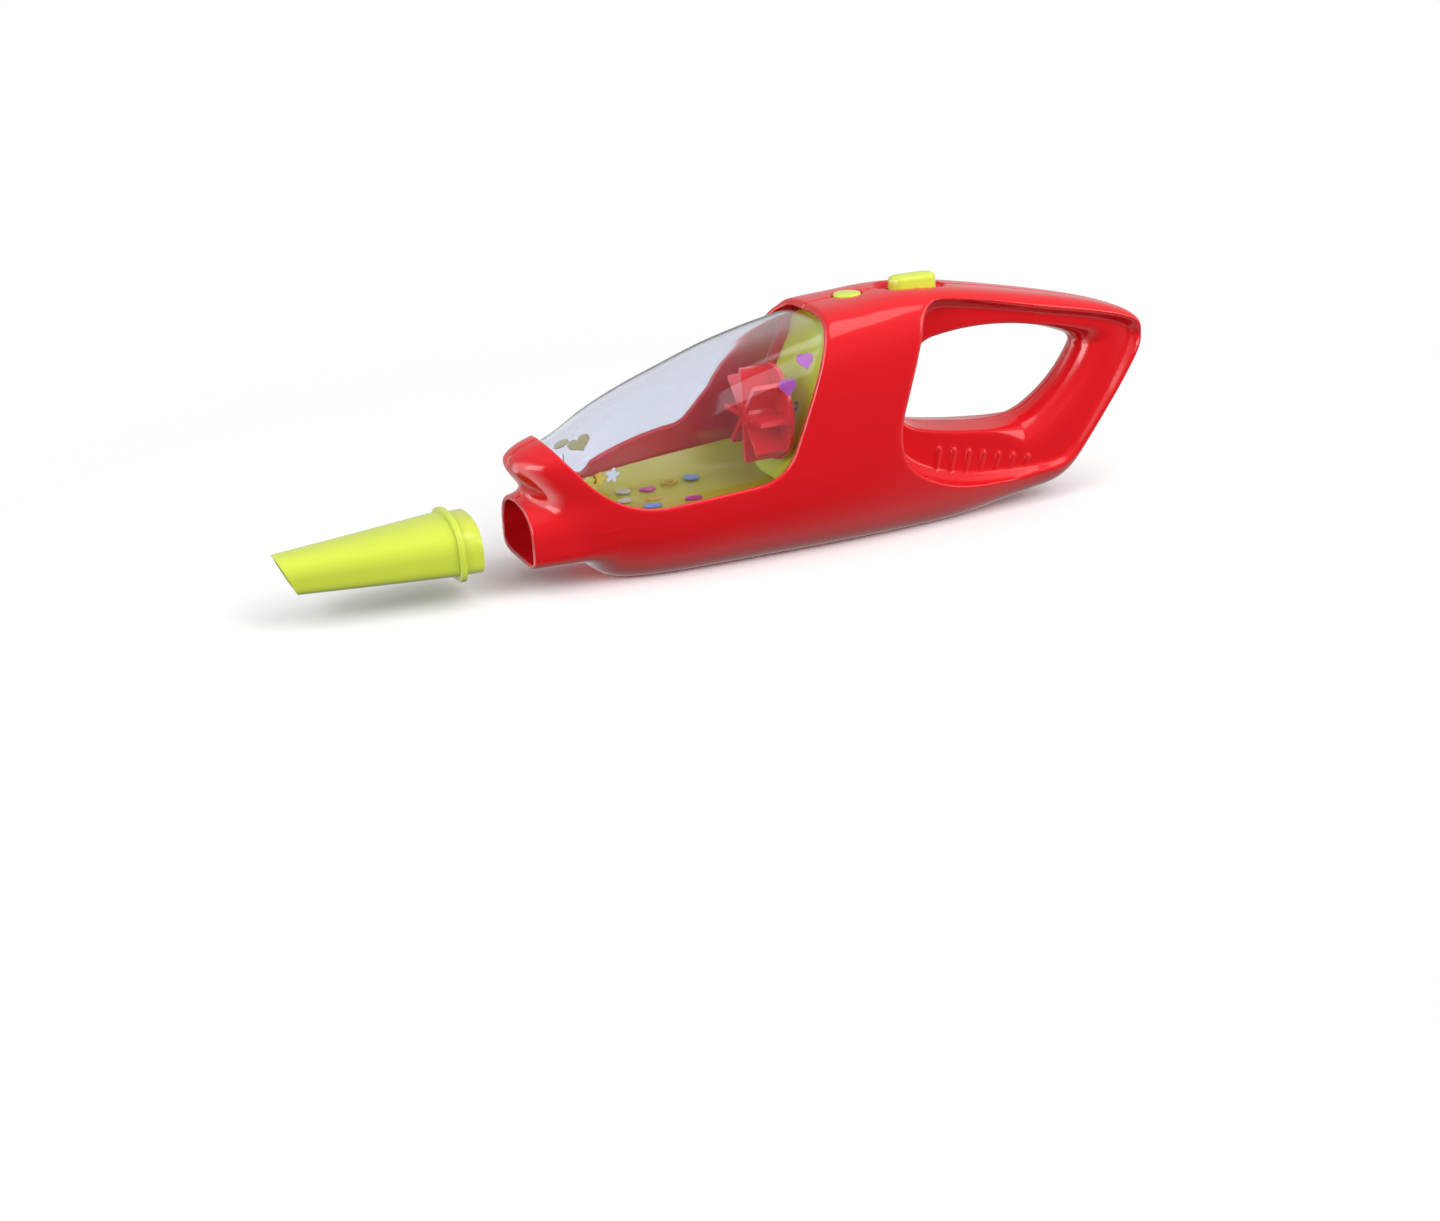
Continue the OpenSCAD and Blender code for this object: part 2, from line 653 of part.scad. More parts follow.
module battery_door() {
    color("#c5181f") placed() difference() {
        union() {
            linear_extrude(door_thick) door_outline(0);
            translate([tab_x - 2.6, -tab_half + 0.4, 0]) cube([2.6 + tab_half - 0.4, 2 * tab_half - 0.8, 3.6]);
        }
        translate([tab_x, 0, -1]) cylinder(d = 2.9, h = 8);
        translate([tab_x, 0, -1]) cylinder(d = 5, h = 2.8);
    }
}

module door_screw() {
    color("#9aa0a6") placed() translate([tab_x, 0, 1.75 - 1.4]) {
        difference() {
            cylinder(d = 4.6, h = 1.4);
            translate([-1.7, -0.3, -0.1]) cube([3.4, 0.6, 0.7]);
            translate([-0.3, -1.7, -0.1]) cube([0.6, 3.4, 0.7]);
        }
        translate([0, 0, 1.3]) cylinder(d = 2.2, h = 8.7);
    }
}

module shell_screws() {
    color("#9aa0a6") placed() at_screws() {
        translate([0, 0, -screw_reach]) cylinder(d = screw_d - 0.4, h = screw_reach + seat_y);
        translate([0, 0, seat_y + 0.02]) difference() {
            cylinder(d = screw_head_d, h = 1.8);
            translate([-1.9, -0.35, 1]) cube([3.8, 0.7, 1]);
            translate([-0.35, -1.9, 1]) cube([0.7, 3.8, 1]);
        }
        translate([0, 0, seat_y - slack]) cylinder(d = screw_d - 0.4, h = 0.1);
    }
}

// Circuit board under the crown, with a rubber dome below each button
module circuit_board() {
    color("#2f6b3c") placed() {
        translate([board_x0, -board_half, board_top - board_thick])
            cube([board_x1 - board_x0, 2 * board_half, board_thick]);
        translate([board_x0 + 12, -3, board_top - slack]) cube([6, 6, 1.4]);
    }
}

module rubber_dome(x, top) {
    h = top - board_top - slack;
    translate([x, 0, board_top]) difference() {
        cylinder(d1 = 8.4, d2 = 5, h = h);
        translate([0, 0, -1]) cylinder(d1 = 7.2, d2 = 3.4, h = h);
    }
}

module power_dome() {
    color("#d8d8d4") placed() rubber_dome(power_x, power_lip - lip_thick);
}

module sound_dome() {
    color("#d8d8d4") placed() rubber_dome(sound_x, sound_lip - lip_thick);
}

module power_button() {
    color("#c5d62e") placed() translate([power_x, 0, 0]) {
        translate([0, 0, power_lip - lip_thick]) linear_extrude(lip_thick)
            stadium(power_length + 2 * lip, power_width + 2 * lip);
        translate([0, 0, power_lip - 0.5]) linear_extrude(power_top - power_lip - 0.9)
            stadium(power_length, power_width);
        translate([0, 0, power_top - 1.4 - slack]) linear_extrude(1.4 + slack)
            stadium(power_length - 1.6, power_width - 1.6);
    }
}

module sound_button() {
    color("#c5d62e") placed() translate([sound_x, 0, 0]) {
        translate([0, 0, sound_lip - lip_thick]) cylinder(d = sound_d + 2 * lip, h = lip_thick);
        translate([0, 0, sound_lip - 0.5]) cylinder(d = sound_d, h = sound_top - sound_lip);
        translate([0, 0, sound_top - 0.6]) cylinder(d1 = sound_d, d2 = sound_d - 1.4, h = 0.6);
    }
}

// Wire that rises from point to point, with level cut ends
wire_d = 1.3;
wire_points = 10;
module wire(points) {
    loft([for (p = points) [for (k = [0 : wire_points - 1]) let (a = -360 * k / wire_points)
        p + wire_d / 2 * [cos(a), sin(a), 0]]]);
}

module battery_lead(y) {
    end_z = board_top - board_thick - slack;
    x = board_x0 - 1;
    placed() wire([[x, y, box_top + slack], [x, y, box_top + 3], [x + 5, y, box_top + 9],
        [board_x0 + 9, y, end_z - 10], [board_x0 + 9, sign(y) * 5.5, end_z - 3],
        [board_x0 + 9, sign(y) * 5.5, end_z]]);
}

module red_lead() {
    color("#b3262a") battery_lead(-13.4);
}

module black_lead() {
    color("#232427") battery_lead(13.4);
}

module motor_leads() {
    x = motor_x0 + motor_length + cap_length + wire_d / 2 + slack;
    end_z = board_top - board_thick - slack;
    color("#c8c6bd") placed() for (s = [-1, 1])
        wire([[x, s * 4, fan_z + 1], [x, s * 4, fan_z + 9], [x - 2, s * 3, end_z - 3], [x - 2, s * 3, end_z]]);
}

// Confetti: thin flakes, hearts that cling to the dome and loose pieces on the tray
flake_thick = 0.4;
module heart(size) {
    translate([0, -size * 0.6]) rotate(45) {
        square(size * 0.6);
        translate([size * 0.3, size * 0.6]) circle(size * 0.3, $fn = 24);
        translate([size * 0.6, size * 0.3]) circle(size * 0.3, $fn = 24);
    }
}

// Inner face of the dome at a height above the middle, with room for a clinging flake
cling_gap = 0.7;
function cling_y(x, z) =
    let (d = dome_in + dome_thick + flake_thick + cling_gap, p = lookup(x / kx, crown_power))
    beam(x, d) * pow(1 - pow((z - middle(x)) / (crown(x, d) - middle(x)), p), 1 / p);
module on_dome(px, pz) {
    x = px * kx;
    z = pz * kz;
    lean = atan((cling_y(x, z - 1) - cling_y(x, z + 1)) / 2);
    translate([x, -cling_y(x, z), z]) rotate([90 - lean, 0, 0]) linear_extrude(flake_thick) children();
}

// Flake laid level on the tray, high enough for the turned-up edge below its span
flake_half = 3.2;
flake_gap = 0.2;
function tray_side(x) = side_y(x, tray_in, angle_at(x, tray_in, tray_base(x) - tray_thick));
module on_tray(px, py) {
    x = px * kx;
    y = py * ky;
    edge = (abs(y) + flake_half) / tray_side(x);
    translate([x, y, tray_z(x - flake_half, sign(y) * edge) + flake_gap]) linear_extrude(flake_thick) children();
}

module purple_hearts() {
    color("#8e3fae") placed() {
        on_dome(15, 61.8) heart(5.4);
        on_dome(8, 55.2) heart(5.6);
    }
}

module magenta_flakes() {
    color("#c2359a") placed() {
        on_tray(-30, 8) heart(5.2);
        on_tray(-21, -9) stadium(5.6, 3.2);
    }
}

module blue_flakes() {
    color("#5f86d8") placed() {
        on_tray(-14, 11) circle(2.6, $fn = 24);
        on_tray(-35, -10) stadium(5.6, 3.4);
    }
}

module silver_flakes() {
    color("#c4c8cc") placed() {
        on_tray(-38, 9) circle(2.4, $fn = 24);
        on_tray(-41, -1) stadium(4.6, 3);
    }
}

module gold_flakes() {
    color("#d8b62c") placed() {
        on_tray(-22, 10) difference() {
            heart(5.4);
            heart(3);
        }
        on_tray(-32, -3) stadium(5, 2.6);
    }
}

// Pull-off nozzle: spigot, stop ring and a tube that tapers to a slanted tip
ring_thick = 2;
nozzle_wall = 1.5;
spigot_x = mouth_x - nozzle_gap;
ring_x = spigot_x - spigot_length;
tube_x = ring_x - ring_thick;
tip_shear = -0.45;
tip_height = 11.4;
tip_lead = -tip_shear * tip_height / 2;
function nozzle_rings(d) =
    let (w0 = spout_width / 2 - spout_wall - spigot_gap, b0 = spout_z + spout_wall + spigot_gap,
        t0 = spout_z + spout_height - spout_wall - spigot_gap)
    concat([for (u = [0, 1 / 3, 2 / 3, 1]) let (x = tip_x + tip_lead + (tube_x - tip_x - tip_lead) * u)
        tomb_ring(x, 8.2 + (w0 - 7.8) * u - d, b0 + 1.4 * (1 - u) + d,
            b0 + 1.4 + tip_height + (t0 + 0.5 - b0 - 1.4 - tip_height) * u - d,
            tip_shear * pow(1 - u, 3))],
        d > 0 ? [] : [tomb_ring(tube_x, spout_width / 2, spout_z, spout_z + spout_height, 0),
            tomb_ring(ring_x, spout_width / 2, spout_z, spout_z + spout_height, 0)],
        [for (x = [ring_x, spigot_x]) tomb_ring(x, w0 - d, b0 + d, t0 - d, 0)]);
function turned(list) = [for (i = [len(list) - 1 : -1 : 0]) list[i]];

module nozzle() {
    color("#c5d62e") placed() ring_skin(concat(nozzle_rings(0), turned(nozzle_rings(nozzle_wall))));
}

left_shell();
right_shell();
canopy();
dust_tray();
fan_wall();
whirl_fan();
motor_shaft();
motor_can();
motor_end_cap();
motor_cradle();
battery_box();
battery_cells();
battery_plates();
battery_springs();
battery_door();
door_screw();
shell_screws();
circuit_board();
power_dome();
sound_dome();
power_button();
sound_button();
red_lead();
black_lead();
motor_leads();
purple_hearts();
magenta_flakes();
blue_flakes();
silver_flakes();
gold_flakes();
nozzle();
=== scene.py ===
import math
import bpy
import bmesh
import numpy as np
import openvdb as vdb
from mathutils import Matrix, Vector


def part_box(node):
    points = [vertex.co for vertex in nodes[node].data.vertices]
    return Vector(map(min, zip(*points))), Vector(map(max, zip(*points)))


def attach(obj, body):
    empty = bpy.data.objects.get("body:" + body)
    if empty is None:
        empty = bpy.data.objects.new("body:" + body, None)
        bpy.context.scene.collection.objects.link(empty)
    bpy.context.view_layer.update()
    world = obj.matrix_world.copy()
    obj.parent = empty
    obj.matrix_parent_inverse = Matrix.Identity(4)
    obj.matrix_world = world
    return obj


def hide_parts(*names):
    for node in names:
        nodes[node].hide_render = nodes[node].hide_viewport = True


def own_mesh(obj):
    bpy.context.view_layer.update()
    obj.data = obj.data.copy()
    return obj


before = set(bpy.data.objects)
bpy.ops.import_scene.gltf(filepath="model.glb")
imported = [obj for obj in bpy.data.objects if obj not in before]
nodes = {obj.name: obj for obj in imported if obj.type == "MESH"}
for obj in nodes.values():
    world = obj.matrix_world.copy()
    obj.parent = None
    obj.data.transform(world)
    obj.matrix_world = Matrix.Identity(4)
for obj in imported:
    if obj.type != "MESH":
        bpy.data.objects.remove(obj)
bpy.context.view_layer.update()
print("frame loaded:", len(nodes), "nodes")

mm = 0.001
shiftX = 5.25  # mm from the drawn frame, spout mouth at -76.5, to the row frame


# Camera: fitted to the spout mouth, collar arch, hand hole and belly line
cameraSet = {
    "azimuth": 20.71, "elevation": 19.29, "roll": 3.57,  # degrees
    "place": (-275.37, -699.22, 240.38),  # mm in the drawn frame
    "lens": 61.17, "sensor": 36.0,  # mm
    "reach": 20.0,  # metres
}


def addCamera(s):
    a, e, r = (math.radians(s[k]) for k in ("azimuth", "elevation", "roll"))
    right = Vector((math.cos(a), -math.sin(a), 0))
    up = Vector((math.sin(a) * math.sin(e), math.cos(a) * math.sin(e), math.cos(e)))
    rolledRight = math.cos(r) * right - math.sin(r) * up
    rolledUp = math.sin(r) * right + math.cos(r) * up
    back = rolledRight.cross(rolledUp)
    data = bpy.data.cameras.new("photoCamera")
    data.lens = s["lens"]
    data.sensor_width = s["sensor"]
    data.sensor_fit = "HORIZONTAL"
    data.clip_end = s["reach"]
    cam = bpy.data.objects.new("photoCamera", data)
    bpy.context.scene.collection.objects.link(cam)
    turn = Matrix((rolledRight, rolledUp, back)).transposed().to_4x4()
    x, y, z = s["place"]
    cam.matrix_world = Matrix.Translation(((x + shiftX) * mm, y * mm, z * mm)) @ turn
    bpy.context.scene.camera = cam


addCamera(cameraSet)
bpy.context.scene.view_settings.view_transform = "Standard"
print("camera placed")


# Materials
def linear(hexCode):
    # sRGB hex to linear light
    parts = [int(hexCode[i:i + 2], 16) / 255 for i in (1, 3, 5)]
    straight = [c / 12.92 if c <= 0.04045 else ((c + 0.055) / 1.055) ** 2.4 for c in parts]
    return (*straight, 1.0)


def addNode(tree, kind, settings=None, values=None, links=None):
    node = tree.nodes.new(kind)
    for k, v in (settings or {}).items():
        setattr(node, k, v)
    for k, v in (values or {}).items():
        node.inputs[k].default_value = v
    for k, v in (links or {}).items():
        tree.links.new(v, node.inputs[k])
    return node


def newMaterial(name):
    mat = bpy.data.materials.new(name)
    mat.use_nodes = True
    tree = mat.node_tree
    place = addNode(tree, "ShaderNodeTexCoord").outputs["Object"]
    return mat, tree, tree.nodes["Principled BSDF"], place


def mouldedAbs(name, colour, deep, roughness):
    # Injection-moulded ABS: even deep colour, mirror-like gloss with a faint long wave from the mould
    # and a slight drift in tone where the melt flowed.
    mat, tree, shader, place = newMaterial(name)
    flow = addNode(tree, "ShaderNodeTexNoise", values={"Scale": 1 / (45 * mm), "Detail": 2.0},
                   links={"Vector": place})
    tone = addNode(tree, "ShaderNodeMix", {"data_type": "RGBA"}, {6: linear(colour), 7: linear(deep)},
                   {0: flow.outputs["Fac"]})
    peel = addNode(tree, "ShaderNodeTexNoise", values={"Scale": 1 / (6 * mm), "Detail": 1.0},
                   links={"Vector": place})
    bump = addNode(tree, "ShaderNodeBump", values={"Strength": 0.06, "Distance": 0.4 * mm},
                   links={"Height": peel.outputs["Fac"]})
    smudge = addNode(tree, "ShaderNodeTexNoise", values={"Scale": 1 / (12 * mm), "Detail": 4.0},
                     links={"Vector": place})
    gloss = addNode(tree, "ShaderNodeMapRange", values={"To Min": roughness * 0.75, "To Max": roughness * 1.3},
                    links={"Value": smudge.outputs["Fac"]})
    tree.links.new(tone.outputs[2], shader.inputs["Base Color"])
    tree.links.new(gloss.outputs["Result"], shader.inputs["Roughness"])
    tree.links.new(bump.outputs["Normal"], shader.inputs["Normal"])
    shader.inputs["IOR"].default_value = 1.52
    return mat


def clearStyrene(name):
    # Clear polystyrene moulding: glass-clear with a cool cast, soft flow lines and a hard bright gloss.
    mat, tree, shader, place = newMaterial(name)
    flow = addNode(tree, "ShaderNodeTexNoise", values={"Scale": 1 / (30 * mm), "Detail": 2.0},
                   links={"Vector": place})
    gloss = addNode(tree, "ShaderNodeMapRange", values={"To Min": 0.02, "To Max": 0.08},
                    links={"Value": flow.outputs["Fac"]})
    shader.inputs["Base Color"].default_value = linear("#EBEEF7")
    shader.inputs["Transmission Weight"].default_value = 1.0
    shader.inputs["IOR"].default_value = 1.45
    tree.links.new(gloss.outputs["Result"], shader.inputs["Roughness"])
    # Light passes straight through to what lies behind, a little dimmed
    rays = addNode(tree, "ShaderNodeLightPath")
    clear = addNode(tree, "ShaderNodeBsdfTransparent", values={"Color": linear("#EDEFF6")})
    mixed = addNode(tree, "ShaderNodeMixShader",
                    links={0: rays.outputs["Is Shadow Ray"], 1: shader.outputs[0], 2: clear.outputs[0]})
    tree.links.new(mixed.outputs[0], tree.nodes["Material Output"].inputs["Surface"])
    return mat


def drawnSteel(name, colour):
    # Zinc-plated drawn steel: grey metal with fine draw lines and a soft broken gloss.
    mat, tree, shader, place = newMaterial(name)
    stretch = addNode(tree, "ShaderNodeMapping", values={"Scale": (0.04 / mm, 1.5 / mm, 1.5 / mm)},  # lines per mm
                      links={"Vector": place})
    lines = addNode(tree, "ShaderNodeTexNoise", values={"Scale": 1.0, "Detail": 3.0},
                    links={"Vector": stretch.outputs[0]})
    gloss = addNode(tree, "ShaderNodeMapRange", values={"To Min": 0.22, "To Max": 0.42},
                    links={"Value": lines.outputs["Fac"]})
    shader.inputs["Base Color"].default_value = linear(colour)
    shader.inputs["Metallic"].default_value = 1.0
    tree.links.new(gloss.outputs["Result"], shader.inputs["Roughness"])
    return mat


def mattMoulded(name, colour, roughness):
    # Matt moulded plastic or rubber: fine spark-eroded grain that scatters the light.
    mat, tree, shader, place = newMaterial(name)
    grain = addNode(tree, "ShaderNodeTexNoise", values={"Scale": 1 / (0.8 * mm), "Detail": 2.0},
                    links={"Vector": place})
    bump = addNode(tree, "ShaderNodeBump", values={"Strength": 0.25, "Distance": 0.1 * mm},
                   links={"Height": grain.outputs["Fac"]})
    shader.inputs["Base Color"].default_value = linear(colour)
    shader.inputs["Roughness"].default_value = roughness
    tree.links.new(bump.outputs["Normal"], shader.inputs["Normal"])
    return mat


def confettiFoil(name, colour, shine):
    # Metallised film: coloured mirror that is creased, so it glints in patches.
    mat, tree, shader, place = newMaterial(name)
    crease = addNode(tree, "ShaderNodeTexNoise", values={"Scale": 1 / (2 * mm), "Detail": 2.0},
                     links={"Vector": place})
    bump = addNode(tree, "ShaderNodeBump", values={"Strength": 0.5, "Distance": 0.3 * mm},
                   links={"Height": crease.outputs["Fac"]})
    shader.inputs["Base Color"].default_value = linear(colour)
    shader.inputs["Metallic"].default_value = shine
    shader.inputs["Roughness"].default_value = 0.28
    tree.links.new(bump.outputs["Normal"], shader.inputs["Normal"])
    return mat


redAbs = mouldedAbs("redAbsGloss", "#E01A22", "#D4181F", 0.12)
limeAbs = mouldedAbs("limeAbsGloss", "#D4E24E", "#C9D945", 0.16)
limeTrayPaintedShade = mouldedAbs("limeTrayPaintedShade", "#A8A02C", "#9C8F28", 0.22)  # the tray's lime is made darker and warmer: painted shade and a painted reflection of the red fan and shells
domeStyrene = clearStyrene("clearStyrene")
steel = drawnSteel("drawnSteel", "#B9BDC2")
greyRubber = mattMoulded("greyRubber", "#C9C9C4", 0.7)
blackNylon = mattMoulded("blackNylon", "#2B2D30", 0.6)
blackPvc = mattMoulded("blackLeadPvc", "#232427", 0.4)
silverFoil = confettiFoil("silverFoil", "#D5D8DC", 0.75)
goldFoil = confettiFoil("goldFoil", "#E3C23A", 0.9)
shadedGoldFoil = confettiFoil("shadedGoldFoil", "#A79C6A", 0.5)  # gold foil darkened to khaki: painted shade
print("materials made")


# Body form: given stations along the length, the same as the solids, in mm of the drawn frame
form = {
    "ends": (-78, 142), "endSoft": 0.8, "outlinePoints": 150,
    "crown": [(-78, 38.2), (-77.2, 40.2), (-75.5, 41.9), (-72.1, 43.7), (-67, 45.4), (-61, 47.9), (-50, 53.6),
              (-36, 59.2), (-22.5, 63.7), (-8.7, 68.2), (5, 71.6), (15, 73.6), (24, 75.2), (38, 76.2), (50, 77),
              (60, 76.7), (74, 75), (97, 70.4), (119, 65.2), (134, 60.4), (139, 57.5), (141.3, 54.5), (142, 51.5)],
    "keel": [(-78, 37.4), (-77.2, 35.8), (-75.5, 33.2), (-72.9, 29.5), (-69.5, 24.5), (-66, 18.5), (-62, 12),
             (-58, 6), (-54, 2), (-50, -0.3), (-45, -1.5), (-38, -2), (0, -2), (55, -2), (68, -1.4), (78, -0.2),
             (88, 1.3), (100, 3), (108, 4.6), (113, 7.2), (117, 11.4), (125, 22.2), (132.5, 33), (139, 43.5),
             (141.3, 48.3), (142, 50.7)],
    "beam": [(-78, 3), (-77.2, 6.5), (-75.5, 9.2), (-72.1, 12.2), (-67, 15.3), (-60, 18.6), (-54, 20.8),
             (-46, 22.8), (-34, 24.5), (-20, 25.6), (-5, 26.1), (10, 26.3), (25, 26), (40, 24.9), (55, 23),
             (70, 20.6), (85, 18.2), (100, 16.2), (115, 14.8), (128, 13.6), (136, 12.2), (140, 10), (142, 5)],
    "crownPower": [(-78, 2.2), (-66, 2.5), (-40, 3), (10, 3.6), (50, 3.8), (100, 4.5), (142, 3.5)],
    "keelPower": [(-78, 2.2), (-66, 2.6), (-50, 3), (-30, 3.4), (80, 3.4), (142, 3.2)],
    "middleShare": 0.56,
}


def smooth(table, x):
    # Smooth curve through the stations
    t = np.array(table, float)
    xs, vs = t[:, 0], t[:, 1]
    lo = np.maximum(np.arange(len(xs)) - 1, 0)
    hi = np.minimum(np.arange(len(xs)) + 1, len(xs) - 1)
    slope = (vs[hi] - vs[lo]) / (xs[hi] - xs[lo])
    x = np.asarray(x, float)
    i = np.clip(np.searchsorted(xs, x, side="right") - 1, 0, len(xs) - 2)
    h = xs[i + 1] - xs[i]
    u = np.clip((x - xs[i]) / h, 0, 1)
    v = 1 - u
    return (vs[i] * (1 + 2 * u) * v * v + h * slope[i] * u * v * v
            + vs[i + 1] * (1 + 2 * v) * u * u - h * slope[i + 1] * v * u * u)


def level(table, x):
    t = np.array(table, float)
    return np.interp(x, t[:, 0], t[:, 1])


def slant(table, x):
    return np.sqrt(1 + (smooth(table, x + 0.5) - smooth(table, x - 0.5)) ** 2)


def section(x, inset=0.0):
    # Crown, keel, half width, middle height and corner powers, drawn in by the inset
    crown = smooth(form["crown"], x)
    keel = smooth(form["keel"], x)
    middle = keel + form["middleShare"] * (crown - keel)
    return (crown - inset * slant(form["crown"], x), keel + inset * slant(form["keel"], x),
            smooth(form["beam"], x) - inset * slant(form["beam"], x), middle,
            level(form["crownPower"], x), level(form["keelPower"], x))


def bend(v, p):
    return np.sign(v) * np.abs(v) ** (2 / p)


def onBody(x, angle, inset):
    # Y and Z of the form at a length and an angle round it
    crown, keel, beam, middle, crownPower, keelPower = section(x, inset)
    c, s = np.cos(angle), np.sin(angle)
    p = np.where(s >= 0, crownPower, keelPower)
    return beam * bend(c, p), middle + np.where(s >= 0, crown - middle, middle - keel) * bend(s, p)


def smax(a, b, k):
    # The greater of two fields, rounded over k mm
    h = np.maximum(k - np.abs(a - b), 0) / k
    return np.maximum(a, b) + h * h * k / 4


def smin(a, b, k):
    return -smax(-a, -b, k)


# Outlines in X and Z, negative inside
def lineSide(x, z, a, b):
    # Distance to the right of the line from a to b
    dx, dz = b[0] - a[0], b[1] - a[1]
    return ((x - a[0]) * dz - (z - a[1]) * dx) / math.hypot(dx, dz)


def alongLine(x, z, a, b):
    # Share of the way from a to b, 0 to 1
    dx, dz = b[0] - a[0], b[1] - a[1]
    return np.clip(((x - a[0]) * dx + (z - a[1]) * dz) / (dx * dx + dz * dz), 0, 1)


def lineSquare(x, z, a, b):
    # Squared distance to the stretch from a to b
    t = alongLine(x, z, a, b)
    return (x - a[0] - t * (b[0] - a[0])) ** 2 + (z - a[1] - t * (b[1] - a[1])) ** 2


def polygonField(x, z, points):
    best = np.full(np.broadcast(x, z).shape, np.inf)
    inside = np.zeros(best.shape, bool)
    for a, b in zip(points, points[1:] + points[:1]):
        best = np.minimum(best, lineSquare(x, z, a, b))
        if a[1] != b[1]:
            crossX = a[0] + (z - a[1]) * (b[0] - a[0]) / (b[1] - a[1])
            inside ^= ((a[1] > z) != (b[1] > z)) & (x < crossX)
    return np.where(inside, -1, 1) * np.sqrt(best)


def arcField(x, z, arc):
    return np.hypot(x - arc[0], z - arc[1]) - arc[2]


windowCut = {
    "nose": (-54.5, 29.0), "noseLean": -0.78,  # a point on the front edge, mm back for each mm up
    "collar": (9.0, 37.9), "collarLean": 0.4,  # the same for the rear edge
    "sill": 26.3, "sillRise": 0.08,  # height at x 0, mm up for each mm back
    "noseSoft": 14.4, "collarSoft": 9.0, "joinSoft": 0.01, "farSoft": 3.0, "edgeSoft": 0.8,
    "farSill": [(-52, 18), (-48.5, 24), (-46.5, 27.5), (-44.5, 29.8), (-40, 31.5), (-33, 33.5), (-26, 35.2),
                (-19, 36.4), (-14, 36.9), (-11, 38.2), (-8, 41.1), (-5, 44.5), (-2, 47.6), (0, 51), (2.7, 54.8),
                (6.4, 58.3), (12, 62.4), (17, 65.8), (21, 70), (40, 72), (40, 18)],  # what the right half keeps
}


def collarX(z):
    x0, z0 = windowCut["collar"]
    return x0 + windowCut["collarLean"] * (z - z0)


def noseX(z):
    x0, z0 = windowCut["nose"]
    return x0 + windowCut["noseLean"] * (z - z0)


def sillZ(x):
    return windowCut["sill"] + windowCut["sillRise"] * x


def windowField(x, z, far):
    w = windowCut
    nose = (noseX(z) - x) / math.hypot(1, w["noseLean"])
    collar = (x - collarX(z)) / math.hypot(1, w["collarLean"])
    sill = sillZ(x) - z
    d = smax(smax(nose, sill, w["noseSoft"]), smax(collar, sill, w["collarSoft"]), w["joinSoft"])
    if far:
        d = smax(d, -polygonField(x, z, w["farSill"]), w["farSoft"])
    return d


holeCut = {
    "rear": (78.8, 69.9, 45.0), "top": (79.0, -29.0, 90.0),  # arcs: middle X, middle Z, radius
    "front": ((49.5, 32.6), (68.0, 90.0)), "floor": ((49.5, 32.6), (92.0, 26.6)),  # straight edges
    "archSoft": 4.0, "footSoft": 8.0, "joinSoft": 6.0, "draft": 1.2,
}


def holeField(x, z):
    h = holeCut
    arch = smax(arcField(x, z, h["rear"]), arcField(x, z, h["top"]), h["archSoft"])
    foot = smax(-lineSide(x, z, *h["front"]), lineSide(x, z, *h["floor"]), h["footSoft"])
    return smax(arch, foot, h["joinSoft"])


recessCut = {
    "front": ((42.3, 27.7), (56.9, 71.3)), "frontSoft": 7.0,  # straight edges
    "low": ((51.0, 13.2), (110.0, 8.8)), "lowSoft": 8.0,
    "corner": ((40.5, 29.0), (58.0, 11.0)), "cornerSoft": 14.0,
    "rim": (3.0, 2.3), "rimFade": (108.0, 20.0),  # width in the middle and at the tail, where it changes
    "handleHalf": 11.0, "beamShare": 0.85, "depth": 2.8,  # how far out the floor lies at most
    "slope": (2.8, 3.2), "floorSoft": 0.4,  # width and height of the border
    "runOut": (80.0, 96.0), "runOutTop": (60.0, 10.0), "joinSoft": (1.2, 9.0),  # soft end of the hole at the tail
    "edgeSoft": (0.8, 0.9), "edgeFade": 12.0,  # edge in the middle, what the front edge adds
}


def profileField(x, z):
    # Side outline of the body
    xs = np.linspace(*form["ends"], form["outlinePoints"])
    points = list(zip(xs, smooth(form["crown"], xs)))
    points += list(zip(xs[::-1], smooth(form["keel"], xs[::-1])))
    return polygonField(x, z, points)


def recessField(x, z):
    r = recessCut
    (rim, tailRim), (start, length) = r["rim"], r["rimFade"]
    inner = profileField(x, z) + rim + (tailRim - rim) * np.clip((x - start) / length, 0, 1)
    d = smax(inner, -lineSide(x, z, *r["front"]), r["frontSoft"])
    d = smax(d, lineSide(x, z, *r["low"]), r["lowSoft"])
    return smax(d, lineSide(x, z, *r["corner"]), r["cornerSoft"])


def recessFloor(x):
    r = recessCut
    return np.minimum(r["handleHalf"], r["beamShare"] * smooth(form["beam"], x) - r["depth"])


def gripField(x, out, z):
    # Side recess and hand hole as one cut, so the wall follows both
    r = recessCut
    side = recessField(x[:, 0], z[0])[:, None, :]
    hole = holeField(x[:, 0], z[0])[:, None, :] - holeCut["draft"] * out / r["handleHalf"]
    floorY = recessFloor(x)
    wide, deep = r["slope"]
    border = np.maximum(side, (deep * side + wide * (floorY + deep - out)) / math.hypot(wide, deep))
    recess = smax(floorY - out, border, r["floorSoft"])
    (start, end), (top, fade) = r["runOut"], r["runOutTop"]
    runOut = np.clip((x - start) / (end - start), 0, 1) ** 2 * np.clip((top - z) / fade, 0, 1)
    tight, loose = r["joinSoft"]
    return smin(recess, hole, tight + loose * runOut)


spout = {
    "half": 16.5, "low": 7.5, "high": 27.3, "powers": (2.5, 5.0), "middleShare": 0.42,  # arched top, boxy foot
    "wall": 1.5, "mouth": -76.5, "socket": 18.0, "mouthSoft": 0.7,
    "flare": (24.0, 2.6, 6.0), "flareSoft": 0.6, "blend": 4.0,  # length, mm out, mm up
}


def trueField(f, step):
    # Turns an implicit form into a first-order distance
    g = np.sqrt(sum(a * a for a in np.gradient(f, step)))
    return f / np.maximum(g, 1e-4)


